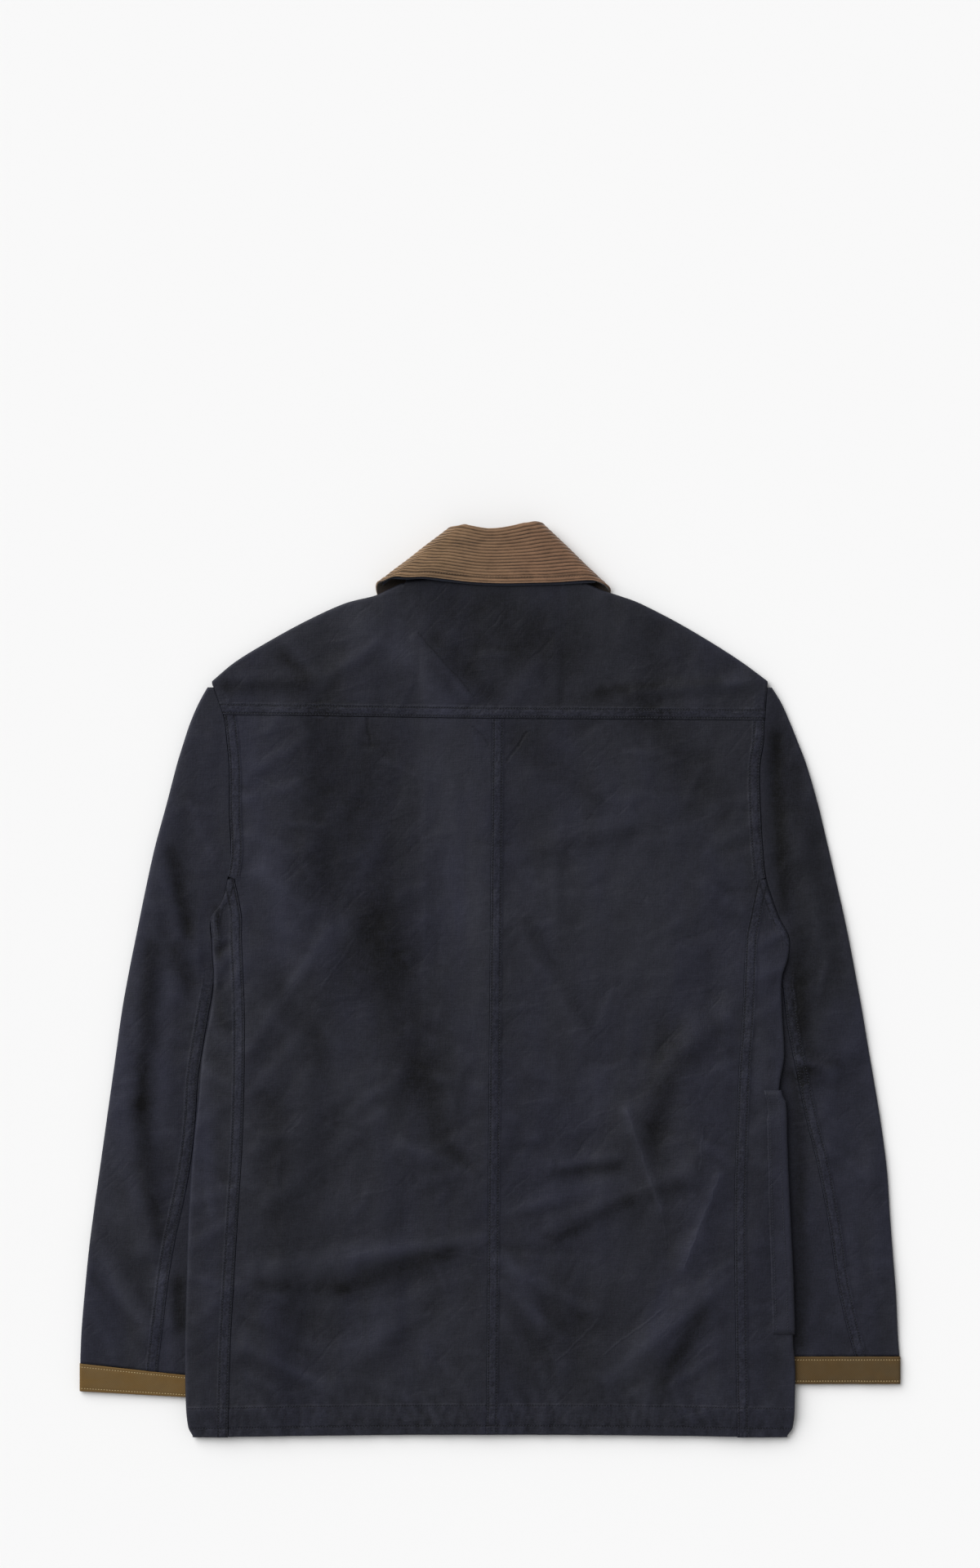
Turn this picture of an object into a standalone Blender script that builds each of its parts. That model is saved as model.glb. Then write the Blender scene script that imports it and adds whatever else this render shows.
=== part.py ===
"""Waxed cotton jacket with a corduroy collar, laid flat on its front.

The jacket lies on the plane z = 0 with its back up and its collar towards +Y. The wearer's left is -X.
Every piece of the pattern is one open sheet, placed section by section and given its wall by Solidify.
All lengths in the tables and constants are millimetres; objects are made in metres.
"""
import math

import bmesh
import bpy
from mathutils import Vector

MM = 0.001

# Cloth
CLOTH = 1.5          # waxed cotton with its lining
CORDUROY = 2.0       # collar leaf
UNDER = 1.0          # under collar
SEAM = 0.3           # space between two pieces at a seam
CLEAR = 0.4          # space between two pieces that lie on each other

# Lie of the layers
SLACK = 2.6          # height of the hollow between front and back where nothing lies under the jacket
EDGE_SLACK = 1.2     # the same at a pressed side fold
SLACK_MAX = 3.7
FOLD = 2.2           # half width of a folded edge
SLEEVE_FLAT = 4.0    # thickness of a flat sleeve
SLEEVE_LIFT = 4.5    # height of the body where it lies on a sleeve
POCKET_LIFT = CLOTH + CLEAR
NECK_LIFT = CORDUROY + 0.8
NECK_TOP = 8.2       # top of the yoke at the neck seam

# Cut
CENTRE_TILT = (1.8, -3.6)    # x of the centre back seam at the yoke and at the hem
HEM_Y = -403.5
HEM_RISE = 2.5               # the hem is this much higher at the centre back
YOKE_Y = (233.0, 229.6, 228.0)   # yoke seam at the left armhole, the centre and the right armhole
YOKE_TURN = 32.8             # width of the yoke on the front of each shoulder
SIDE_TURN = 54.0             # width of a side body on the front
LAP = 15.0                   # each front passes the centre by this much
CUFF_LEFT = ((-338.6, -348.7), (-363.0, -368.1))    # upper and lower edge, at the outer and inner end
CUFF_RIGHT = (-332.4, -356.6)
CUFF_FOLDS = (361.6, 223.6)  # outer and hidden fold of a cuff, from the centre
CUFF_PROUD = 0.2
POCKET_ROWS = (3, 10)        # the body's rows between which a patch pocket lies
ROLL = 2.7                   # outer radius of the collar's roll
ROLL_TOP = 15.0              # height of the roll
FACING = 1.2                 # the leaf goes this far past the roll, to the stand
CORNER_GAP = 4.0             # space between leaf and stand where the roll is folded at the corners
WALE_DEPTH = 0.5             # of the grooves of the corduroy
UNDER_STATIONS = (5, 20)     # the collar's sections between which the under collar shows
UNDER_START = 0.16           # the under collar starts at this share of the leaf's width
UNDER_REACH = (0.93, 1.045)  # and ends at this share, in the side folds and along the back

# y, left edge, right edge: the armhole seams above the underarm, the side folds below it
BODY = (
    (-402, -262.0, 262.0), (-395, -265.7, 266.6), (-372, -267.8, 268.4), (-322, -268.3, 268.6),
    (-264, -266.8, 267.1), (-204, -264.8, 264.2), (-144, -260.6, 261.6), (-108, -256.6, 260.4),
    (-99, -255.8, 256.4), (-66, -253.0, 259.0), (-25, -245.5, 257.0), (2, -243.0, 257.2),
    (20, -244.2, 262.6), (37, -245.2, 263.4), (54, -246.0, 255.0), (70, -236.9, 249.0),
    (90, -231.2, 243.0), (112, -228.2, 240.5), (147, -229.5, 238.3), (186, -229.7, 237.8),
    (210, -231.6, 241.0), (233, -234.7, 242.0), (263, -244.8, 244.4),
)
# y, left, right: seams between the backs and the side bodies
BACK_SEAM = (
    (-402, -230.4, 217.4), (-322, -228.2, 216.0), (-264, -225.0, 215.3), (-204, -221.4, 214.8),
    (-144, -217.8, 216.2), (-84, -216.0, 218.6), (-25, -216.0, 222.5), (35, -218.6, 225.0),
    (57, -219.0, 229.0), (92, -226.0, 236.4),
)
SIDE_TOP = 88.0      # the side bodies start here, under the arms
UNDER_TOP = -6.0     # the under sleeves come out from below the body here
SLEEVE_TOP = 257.0   # the sleeves start here, below the shoulder point
ROWS_LOW, ROWS_ARM, ROWS_UP, ROWS_CAP = 13, 4, 6, 2    # rows up to UNDER_TOP, SIDE_TOP, the yoke, SLEEVE_TOP
# y, left, right: outer folds of the sleeves
SLEEVE_FOLD = (
    (-338, -361.0, 361.3), (-314, -360.0, 359.5), (-278, -357.0, 357.8), (-242, -353.5, 355.0),
    (-206, -349.0, 352.3), (-170, -344.0, 350.0), (-134, -339.0, 345.5), (-98, -334.0, 339.8),
    (-62, -329.0, 333.6), (-26, -324.0, 327.6), (10, -317.5, 321.0), (46, -310.3, 314.0),
    (82, -303.0, 306.0), (118, -295.0, 297.6), (154, -285.2, 289.0), (190, -275.8, 278.5),
    (208, -270.2, 271.6), (226, -264.2, 264.4), (244, -256.3, 256.3), (262, -246.0, 245.0),
)
# y, left, right: seams between top sleeve and under sleeve on the back of the elbow
ELBOW_SEAM = (
    (-350, -292.5, 326.0), (-330, -290.8, 320.5), (-300, -287.2, 312.5), (-264, -283.0, 305.0),
    (-228, -277.0, 300.0), (-190, -268.8, 293.5), (-156, -262.8, 286.4), (-120, -259.0, 277.4),
    (-84, -256.6, 270.0), (-40, -249.6, 261.4), (-6, -243.4, 257.7),
)
# y, left, right: inner folds of the sleeves, under the body
HIDDEN_FOLD = (
    (-375, -226, 226), (-338, -224, 224), (-200, -206, 208), (-100, -192, 198),
    (-60, -200, 207), (-30, -222, 234), (-6, -237, 251), (40, -232, 246), (60, -225, 240),
)
# x at the shoulder, y at the shoulder or neck seam, x at the yoke seam
YOKE = (
    (-244.8, 262.6, -234.7), (-223.9, 279.9, -217.0), (-194.4, 297.9, -190.0), (-161.3, 315.9, -160.0),
    (-128.9, 330.6, -129.0), (-102.2, 337.5, -103.0), (-90.0, 343.0, -91.0), (-75.6, 349.4, -77.0),
    (-57.6, 352.6, -58.0), (-29.0, 354.2, -29.0), (0.0, 354.7, 2.0), (32.0, 354.4, 33.0),
    (62.0, 353.8, 62.0), (80.6, 350.6, 80.6), (97.2, 343.2, 97.0), (115.2, 337.2, 115.0),
    (132.5, 330.8, 132.0), (162.0, 315.9, 160.0), (193.0, 297.9, 188.0), (221.0, 279.9, 216.0),
    (244.4, 262.6, 242.0),
)
YOKE_NECK = (7, 13)  # the columns between which the yoke ends at the neck seam
# x from the centre, y: neck seam of each front
FRONT_NECK = ((58, 303), (30, 293), (0, 290))

# Collar, one row a section from the wearer's left point round the back to the right point:
# roll x, y; edge x, y; stand x, y at the neck seam; angle the leaf faces (0 side, 90 up, -90 down);
# side the fold is on; height of the leaf's edge. A section on a side fold is given by its silhouette.
COLLAR = (
    (-5.8, 324.5, -56.2, 287.1, -0.5, 290.8, -90, -1, 12.0),
    (-15.8, 343.2, -77.8, 297.9, -30.0, 293.8, -90, -1, 12.0),
    (-26.6, 364.8, -92.0, 314.0, -57.0, 304.6, -90, -1, 12.0),
    (-34.0, 382.0, -97.0, 333.0, -73.4, 324.0, -90, -1, 12.0),
    (-39.7, 394.7, -101.5, 341.0, -73.4, 350.8, -60, -1, 12.0),
    (-36.7, 397.3, -101.0, 346.0, -73.4, 350.8, -20, -1, 12.2),
    (-33.7, 399.8, -99.0, 350.4, -73.4, 350.9, 20, -1, 13.2),
    (-30.0, 402.9, -95.5, 354.0, -73.0, 351.0, 60, -1, 14.6),
    (-22.1, 400.4, -84.4, 354.2, -69.0, 351.6, 90, -1, 15.6),
    (-18.0, 399.6, -72.0, 353.6, -57.6, 353.2, 90, -1, 16.6),
    (-13.0, 398.6, -57.0, 354.0, -43.0, 354.1, 90, -1, 16.0),
    (-7.4, 397.6, -37.0, 351.8, -26.0, 354.9, 90, -1, 13.6),
    (-1.0, 396.9, -14.4, 349.4, -8.0, 355.2, 90, -1, 12.4),
    (7.0, 397.3, 10.8, 348.4, 10.0, 355.2, 90, 1, 12.4),
    (14.6, 398.4, 36.0, 348.8, 28.0, 355.0, 90, 1, 12.4),
    (21.6, 399.8, 57.6, 349.3, 46.0, 354.7, 90, 1, 12.4),
    (28.2, 401.4, 74.2, 350.4, 61.0, 354.5, 90, 1, 12.6),
    (34.4, 402.2, 89.3, 351.1, 72.0, 353.2, 90, 1, 12.8),
    (42.3, 406.3, 98.3, 352.3, 78.0, 351.8, 60, 1, 12.8),
    (44.8, 403.6, 103.0, 347.8, 78.2, 351.8, 20, 1, 12.8),
    (47.5, 400.4, 106.5, 344.5, 78.2, 351.8, -20, 1, 12.6),
    (50.5, 397.6, 108.5, 342.6, 78.2, 351.8, -60, 1, 12.6),
    (43.0, 385.0, 104.0, 333.0, 78.2, 324.0, -90, 1, 12.0),
    (31.0, 366.0, 97.0, 313.0, 60.0, 304.6, -90, 1, 12.0),
    (16.0, 344.0, 80.0, 297.0, 30.0, 293.8, -90, 1, 12.0),
    (5.8, 324.5, 56.2, 287.1, 0.5, 290.8, -90, 1, 12.0),
)

# Creases and hollows: x, y of one end; x, y of the other; width; height
BODY_CREASES = (
    (-65, 309, -17, 251, 12, -1.6), (-100, 300, -40, 262, 22, 0.9), (128, 252, 226, 262, 13, 1.2),
    (121, -116, 150, -201, 13, 1.4), (201, -174, 169, -254, 12, 1.3), (-76, -148, -7, -174, 16, 1.4),
    (-119, -244, -7, -228, 18, 1.3), (9, -249, 92, -292, 16, 1.1), (105, -350, 206, -265, 18, 1.3),
    (-214, -63, -140, 44, 20, 1.3), (-214, -323, -140, -361, 12, 1.2), (-190, -200, -120, -150, 22, -1.0),
    (-60, 150, -45, -60, 42, -1.0), (60, 90, 112, -70, 40, -1.1), (130, -90, 150, -120, 34, -1.2),
    (-150, -290, -60, -330, 20, -1.1), (40, -330, 120, -300, 20, -1.0), (-170, 190, -120, 120, 26, 0.9),
    (30, 190, 120, 150, 30, 0.8), (20, -60, 90, -95, 22, -0.9),
)
SLEEVE_CREASES = (
    (-347, -231, -300, -303, 12, 1.2), (-292, 60, -312, -110, 15, -0.7), (-280, 150, -300, 40, 12, 0.9),
    (-335, -120, -300, -180, 16, 0.9), (262, -70, 300, -82, 9, 1.1), (298, 120, 318, -150, 18, -0.8),
    (262, 170, 290, 60, 14, 0.9), (325, -180, 345, -290, 16, 0.9), (300, -120, 335, -160, 14, 0.8),
)


def smooth(value, start, end):
    """0 before start, 1 past end, level at both."""
    t = min(1.0, max(0.0, (value - start) / (end - start)))
    return t * t * (3.0 - 2.0 * t)


def mix(a, b, t):
    return a + (b - a) * t


def rail(rows, key, column):
    """The column's value at a key of the first column, on a smooth curve through the rows."""
    last = len(rows) - 1
    if key <= rows[0][0]:
        return rows[0][column]
    if key >= rows[last][0]:
        return rows[last][column]
    i = max(n for n in range(last) if rows[n][0] <= key)

    def slope(n):
        low, high = max(0, n - 1), min(last, n + 1)
        return (rows[high][column] - rows[low][column]) / (rows[high][0] - rows[low][0])

    span = rows[i + 1][0] - rows[i][0]
    t = (key - rows[i][0]) / span
    a, b = rows[i][column], rows[i + 1][column]
    return (a * (1 + 2 * t) * (1 - t) ** 2 + slope(i) * span * t * (1 - t) ** 2
            + b * t * t * (3 - 2 * t) + slope(i + 1) * span * t * t * (t - 1))


def creases(rows, x, y):
    """Sum of soft ridges and troughs that fade towards their ends."""
    height = 0.0
    for x0, y0, x1, y1, width, rise in rows:
        along_x, along_y = x1 - x0, y1 - y0
        length = math.hypot(along_x, along_y)
        s = ((x - x0) * along_x + (y - y0) * along_y) / length
        off = ((x - x0) * along_y - (y - y0) * along_x) / length
        past = max(0.0, -s, s - length)
        height += rise * math.exp(-(off * off + past * past) / (width * width))
    return height


def side_of(x):
    return 1 if x < 0 else 2


def edge(y, side):
    return rail(BODY, y, side)


def covered(x, y):
    """1 where the body lies on a sleeve, 0 away from it."""
    side = side_of(x)
    inner = abs(rail(HIDDEN_FOLD, y, side))
    across = smooth(abs(x), inner - 58, inner - 22)
    down = smooth(y, 56, 4)
    return across * down * mix(1.0, 0.25, smooth(y, -377, -400))


def pocketed(x, y):
    """1 where a patch pocket lies under the front."""
    return smooth(abs(x), 74, 100) * smooth(y, -344, -318) * smooth(y, -66, -92)


def near_neck(x, y):
    return smooth(abs(x - 3), 150, 112) * smooth(y, 190, 282)


def low(x, y):
    """Outer face of the front, which is the jacket's underside."""
    return SLEEVE_LIFT * covered(x, y) + POCKET_LIFT * pocketed(x, y) + NECK_LIFT * near_neck(x, y)


def high(x, y):
    """Outer face of the back."""
    lift = low(x, y)
    side = side_of(x)
    inboard = abs(edge(y, side)) - abs(x)
    pressed = smooth(inboard, 26, 2) * smooth(y, 110, 60)
    lapped = smooth(abs(x), 74, 56) * POCKET_LIFT
    slack = max(mix(SLACK - 0.25 * lift, EDGE_SLACK, pressed), lapped + 0.7)
    rise = creases(BODY_CREASES, x, y) * (1.0 - 0.8 * pressed)
    most = SLACK_MAX - slack
    least = slack - 0.5 - lapped
    bend = most * math.tanh(rise / most) if rise > 0 else least * math.tanh(rise / max(0.1, least))
    cloth = lift + 2 * CLOTH + slack + bend
    return mix(cloth, NECK_TOP, smooth(abs(x - 3), 122, 92) * smooth(y, 272, 322))


def yoke_seam(x):
    left, centre, right = YOKE_Y
    return mix(centre, left, min(1.0, -x / 235)) if x < 0 else mix(centre, right, min(1.0, x / 242))


def hem(x):
    return HEM_Y + HEM_RISE * (1.0 - (x / 262.0) ** 2)


def body_row(j, bottom, top):
    """y of row j of a body piece that ends at the heights given."""
    if j <= ROWS_LOW:
        return mix(bottom, UNDER_TOP, j / ROWS_LOW)
    if j <= ROWS_LOW + ROWS_ARM:
        return mix(UNDER_TOP, SIDE_TOP, (j - ROWS_LOW) / ROWS_ARM)
    return mix(SIDE_TOP, top, (j - ROWS_LOW - ROWS_ARM) / ROWS_UP)


def armhole(y, side):
    """x of the armhole seam; along the yoke it is straight."""
    shoulder_x, shoulder_y, seam_x = YOKE[0] if side == 1 else YOKE[-1]
    seam_y = YOKE_Y[0] if side == 1 else YOKE_Y[2]
    if y <= seam_y:
        return edge(y, side)
    return mix(seam_x, shoulder_x, min(1.0, (y - seam_y) / (shoulder_y - FOLD - seam_y)))


def around(i, x_start, x_fold, x_end, counts):
    """x and level (1 top, -1 bottom) of station i: over the top layer, round the fold and back below."""
    top, fold, bottom = counts
    toward = 1 if x_fold > x_start else -1
    centre = x_fold - toward * FOLD
    if i <= top:
        return mix(x_start, centre, i / top), 1.0
    if i < top + fold:
        angle = math.pi * (i - top) / fold
        return centre + toward * FOLD * math.sin(angle), math.cos(angle)
    return mix(centre, x_end, (i - top - fold) / bottom), -1.0


def level(top, bottom, weight):
    return (top + bottom) / 2 + weight * (top - bottom) / 2


def finish(name, base_color, roughness):
    """A cloth's own material."""
    material = bpy.data.materials.new(name)
    material.use_nodes = True
    shader = material.node_tree.nodes["Principled BSDF"]
    shader.inputs["Base Color"].default_value = (*base_color, 1.0)
    shader.inputs["Roughness"].default_value = roughness
    shader.inputs["Metallic"].default_value = 0.0
    return material


def sheet(name, patches, material, wall, up=True):
    """One piece: grids of (columns, rows, place) joined where they meet, with its wall on the inside."""
    bm = bmesh.new()
    for columns, rows, place in patches:
        made = bmesh.ops.create_grid(bm, x_segments=columns, y_segments=rows, size=0.5)
        for vert in made["verts"]:
            i = round((vert.co.x + 0.5) * columns)
            j = round((vert.co.y + 0.5) * rows)
            vert.co = Vector(place(i, j)) * MM
    bmesh.ops.remove_doubles(bm, verts=bm.verts, dist=0.00001)
    bm.normal_update()
    bm.faces.ensure_lookup_table()
    if (bm.faces[0].normal.z > 0) != up:
        bmesh.ops.reverse_faces(bm, faces=bm.faces)
    mesh = bpy.data.meshes.new(name)
    bm.to_mesh(mesh)
    bm.free()
    piece = bpy.data.objects.new(name, mesh)
    jacket.objects.link(piece)
    mesh.materials.append(material)
    mesh.shade_smooth()
    shell = piece.modifiers.new("Wall", "SOLIDIFY")
    shell.thickness = wall * MM
    shell.offset = -1.0
    return piece


def make_yoke():
    """The back of the yoke, and its two turns over the shoulders, which leave the neck open between them."""
    back_rows, fold_rows, turn_rows = 5, 4, 2
    last = len(YOKE) - 1

    def back(i, j):
        x_top, y_top, x_seam = YOKE[i]
        in_fold = i <= YOKE_NECK[0] or i >= YOKE_NECK[1]
        y_end = y_top - FOLD if in_fold else y_top
        x = mix(x_seam, x_top, j / back_rows)
        y = mix(yoke_seam(x_seam), y_end, j / back_rows)
        return x, y, high(x, y)

    def turn(first):
        def place(i, j):
            x, y_top, _ = YOKE[first + i]
            centre = y_top - FOLD
            top, bottom = high(x, centre), low(x, centre)
            if j <= fold_rows:
                angle = math.pi * j / fold_rows
                return x, centre + FOLD * math.sin(angle), level(top, bottom, math.cos(angle))
            y = centre - YOKE_TURN * (j - fold_rows) / turn_rows
            x = front_x(x, y)
            return x, y, low(x, y)
        return place

    rows = fold_rows + turn_rows
    patches = [
        (last, back_rows, back),
        (YOKE_NECK[0], rows, turn(0)),
        (last - YOKE_NECK[1], rows, turn(YOKE_NECK[1])),
    ]
    sheet("yoke", patches, waxed, CLOTH)


def front_x(x, y):
    """Moves a point of the front's shoulder so that the piece ends along the armhole."""
    side = side_of(x)
    end = YOKE[0][0] if side == 1 else YOKE[-1][0]
    near = max(0.0, 1.0 - abs(x - end) / 70)
    shoulder_y = YOKE[0][1] if side == 1 else YOKE[-1][1]
    down = shoulder_y - FOLD - (rail(YOKE, x, 1) - FOLD - y)
    return x + near * (armhole(down, side) - end)


def make_back(name, side):
    columns, rows = 9, ROWS_LOW + ROWS_ARM + ROWS_UP
    toward = -1 if side == 1 else 1

    def place(i, j):
        u = i / columns
        y = body_row(j, hem(toward * 220), yoke_seam(toward * 235) - SEAM)
        centre = mix(CENTRE_TILT[1], CENTRE_TILT[0], j / rows) + toward * SEAM / 2
        x = mix(centre, back_seam(y, side) - toward * SEAM / 2, u)
        y = body_row(j, hem(x), yoke_seam(x) - SEAM)
        return x, y, high(x, y)

    sheet(name, [(columns, rows, place)], waxed, CLOTH)


def back_seam(y, side):
    return rail(BACK_SEAM, y, side) if y < SIDE_TOP + 1 else edge(y, side)


def tucked_in(y, side):
    """A side fold stands back where a patch pocket is wrapped round it."""
    return POCKET_LIFT * smooth(y, -346, -316) * smooth(y, -67, -96) if side == 2 else 0.0


def front_seam(y, side):
    """x of the seam between front and side body, and of the armhole above it."""
    toward = -1 if side == 1 else 1
    seam = edge(y, side) - toward * SIDE_TURN
    return mix(back_seam(y, side), seam, smooth(y, SIDE_TOP - 14, 20))


SIDE_COUNTS = (3, 4, 2)


def side_point(i, j, side, out=0.0):
    """Station i of row j of a side body, moved out by a distance."""
    toward = -1 if side == 1 else 1
    y = body_row(j, hem(toward * 220), 0.0)
    fold = edge(y, side) - toward * tucked_in(y, side)
    start = back_seam(y, side) + toward * SEAM / 2
    end = front_seam(y, side) + toward * SEAM / 2
    x, weight = around(i, start, fold, end, SIDE_COUNTS)
    y = body_row(j, hem(x), 0.0)
    z = level(high(x, y) + out, low(x, y) - out, weight)
    return x + toward * out * math.sqrt(max(0.0, 1.0 - weight * weight)), y, z


def make_side(name, side):
    columns, rows = sum(SIDE_COUNTS), ROWS_LOW + ROWS_ARM
    sheet(name, [(columns, rows, lambda i, j: side_point(i, j, side))], waxed, CLOTH)


def front_columns(side):
    """x and y of the top ends of a front's columns: the shoulder, then the neck seam and the lap."""
    toward = -1 if side == 1 else 1
    count = YOKE_NECK[0] + 1
    rows = YOKE[:count] if side == 1 else YOKE[:-count - 1:-1]
    tops = [(front_x(x, y - FOLD - YOKE_TURN), y - FOLD - YOKE_TURN - SEAM) for x, y, _ in rows]
    tops += [(toward * x, y - SEAM) for x, y in FRONT_NECK]
    return tops + [(-toward * LAP, tops[-1][1] + 0.6)]


def front_point(i, j, side, out=0.0):
    """Column i and row j of a front, moved out by a distance."""
    toward = -1 if side == 1 else 1
    tops = front_columns(side)
    x_top, y_top = tops[i]
    u = (x_top - tops[0][0]) / (tops[-1][0] - tops[0][0])
    last = ROWS_LOW + ROWS_ARM + ROWS_UP
    over = yoke_seam(toward * 235) - SEAM - tops[0][1]
    down = over if j == last else 0.0
    y = body_row(j, hem(toward * 220), tops[0][1] + over) - down
    x = mix(front_seam(y, side) - toward * SEAM / 2, tops[-1][0], u)
    y = body_row(j, hem(x), y_top + over) - down
    lapped = POCKET_LIFT * smooth(x, 56, 30) if side == 2 else 0.0
    return x, y, low(x, y) + lapped - out


def make_front(name, side):
    columns, rows = len(front_columns(side)) - 1, ROWS_LOW + ROWS_ARM + ROWS_UP
    sheet(name, [(columns, rows, lambda i, j: front_point(i, j, side))], waxed, CLOTH, up=False)


def sleeve_face(x, y, side):
    """Upper face of a sleeve: level with the body at the armhole, flat under the body lower down."""
    toward = -1 if side == 1 else 1
    seam = armhole(y, side)
    out = smooth(toward * (x - seam), 0, 45)
    beside = smooth(y, 10, 50)
    free = smooth(toward * (x - seam), 3, 14)
    shape = creases(SLEEVE_CREASES, x, y) * mix(free, out, beside) * smooth(y, 250, 210)
    shape = max(-0.6, min(1.4, shape))
    return mix(SLEEVE_FLAT, mix(high(seam, y), SLEEVE_FLAT, out), beside) + shape


def cuff_line(x, side, lower):
    """y of the cuff's upper or lower edge."""
    if side == 2:
        return CUFF_RIGHT[lower]
    return mix(CUFF_LEFT[lower][0], CUFF_LEFT[lower][1], (x + 361) / 92)


def sleeve_row(j, bottom, side):
    """y of row j of a sleeve whose lower end is at the height given."""
    toward = -1 if side == 1 else 1
    up = ROWS_LOW + ROWS_ARM + ROWS_UP
    if j <= up:
        return body_row(j, bottom, yoke_seam(toward * 235) - SEAM)
    return mix(yoke_seam(toward * 235) - SEAM, SLEEVE_TOP, (j - up) / ROWS_CAP)


def sleeve_seam(j, y, side):
    """x of the top sleeve's back edge: the armhole, and the elbow seam below it."""
    toward = -1 if side == 1 else 1
    return (rail(ELBOW_SEAM, y, side) if j < ROWS_LOW else armhole(y, side)) + toward * SEAM


def make_sleeve_top(name, side):
    counts = (4, 4, 2)
    rows = ROWS_LOW + ROWS_ARM + ROWS_UP + ROWS_CAP
    toward = -1 if side == 1 else 1

    def place(i, j):
        y = sleeve_row(j, cuff_line(toward * 300, side, 0), side)
        inner = sleeve_seam(j, y, side)
        x, weight = around(i, inner, rail(SLEEVE_FOLD, y, side), inner + toward * CLEAR, counts)
        y = sleeve_row(j, cuff_line(x, side, 0) + SEAM, side)
        return x, y, level(sleeve_face(x, y, side), 0.0, weight)

    sheet(name, [(sum(counts), rows, place)], waxed, CLOTH)


def make_sleeve_under(name, side):
    counts = (2, 4, 2)
    toward = -1 if side == 1 else 1

    def place(i, j):
        y = sleeve_row(j, cuff_line(toward * 300, side, 0), side)
        seam = sleeve_seam(j, y, side) - toward * SEAM
        x, weight = around(i, seam, rail(HIDDEN_FOLD, y, side), seam, counts)
        y = sleeve_row(j, cuff_line(x, side, 0) + SEAM, side)
        return x, y, level(sleeve_face(x, y, side), 0.0, weight)

    sheet(name, [(sum(counts), ROWS_LOW, place)], waxed, CLOTH)


def make_cuff(name, side):
    """A band round the end of the sleeve that starts and ends at one seam on its lower layer."""
    toward = -1 if side == 1 else 1
    middle = toward * 292.0
    counts = (3, 4, 2)
    half = sum(counts)
    rows = 2

    def place(i, j):
        fold = CUFF_FOLDS[0] if i <= half else CUFF_FOLDS[1]
        gap = SEAM / 2 if i <= half else -SEAM / 2
        x, weight = around(abs(i - half), middle, toward * fold, middle + toward * gap, counts)
        y = mix(cuff_line(x, side, 1), cuff_line(x, side, 0), j / rows)
        return x, y, level(SLEEVE_FLAT + CUFF_PROUD, 0.0, weight)

    sheet(name, [(2 * half, rows, place)], olive, CLOTH, up=False)


def leaf_frame(row):
    """Directions of a collar section: from the roll to the edge, sideways in plan, and out of the cloth."""
    roll_x, roll_y, edge_x, edge_y, _, _, faces, side, _ = row
    along = Vector((edge_x - roll_x, edge_y - roll_y, 0.0)).normalized()
    plan = Vector((side * abs(along.y), abs(along.x), 0.0))
    angle = math.radians(faces)
    return along, plan, plan * math.cos(angle) + Vector((0.0, 0.0, math.sin(angle)))


def leaf_point(row, t, inset=0.0):
    """A point of the collar leaf, t = 0 at the roll and 1 at its edge, moved in by inset."""
    along, plan, normal = leaf_frame(row)
    half = mix(ROLL_TOP, row[8], t) / 2
    start = Vector((row[0], row[1], 0.0)) + along * ROLL
    point = start.lerp(Vector((row[2], row[3], 0.0)), t)
    if abs(row[6]) < 90:
        point -= plan * half * (1.0 - math.cos(math.radians(row[6])))
    point.z = half * (1.0 + math.sin(math.radians(row[6])))
    return point - normal * inset


def set_wall(piece, columns, outer, inner):
    """Applies a piece's wall and places both its faces by section, so that it keeps clear in a tight fold."""
    solid = bpy.data.meshes.new_from_object(piece.evaluated_get(bpy.context.evaluated_depsgraph_get()))
    piece.modifiers.clear()
    piece.data = solid
    count = len(solid.vertices) // 2
    for vert in solid.vertices:
        j, i = divmod(vert.index % count, columns)
        vert.co = (outer if vert.index < count else inner)(i, j) * MM


def make_collar():
    """The leaf and its roll; every other row of its outer face is a groove between two wales."""
    roll_rows, leaf_rows = 7, 32
    last = roll_rows + leaf_rows

    def place(i, j, inset=0.0):
        row = COLLAR[i]
        if j >= roll_rows:
            return leaf_point(row, (j - roll_rows) / leaf_rows, inset)
        along, _, normal = leaf_frame(row)
        centre = leaf_point(row, 0.0) - normal * ROLL
        if j == 0:
            return centre - normal * (ROLL - inset) + along * FACING
        angle = math.pi * (j - 1) / (roll_rows - 1) - math.pi / 2
        return centre + (normal * math.sin(angle) - along * math.cos(angle)) * (ROLL - inset)

    def ribbed(i, j):
        return place(i, j, WALE_DEPTH if j % 2 == 0 and 0 < j < last else 0.0)

    leaf = sheet("collar", [(len(COLLAR) - 1, last, place)], corduroy, CORDUROY)
    set_wall(leaf, len(COLLAR), ribbed, lambda i, j: place(i, j, CORDUROY))


def make_under_collar():
    """The leaf's backing, round both side folds; its edge peeks out below the leaf, but not in the folds."""
    first, last = UNDER_STATIONS
    rows = 9

    def place(i, j, inset=CORDUROY + CLEAR):
        row = COLLAR[first + i]
        reach = mix(UNDER_REACH[0], UNDER_REACH[1], smooth(row[6], 40, 90))
        return leaf_point(row, mix(UNDER_START, reach, j / rows), inset)

    under = sheet("under_collar", [(last - first, rows, place)], navy, UNDER, up=False)
    set_wall(under, last - first + 1, place, lambda i, j: place(i, j, CORDUROY + CLEAR + UNDER))


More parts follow.
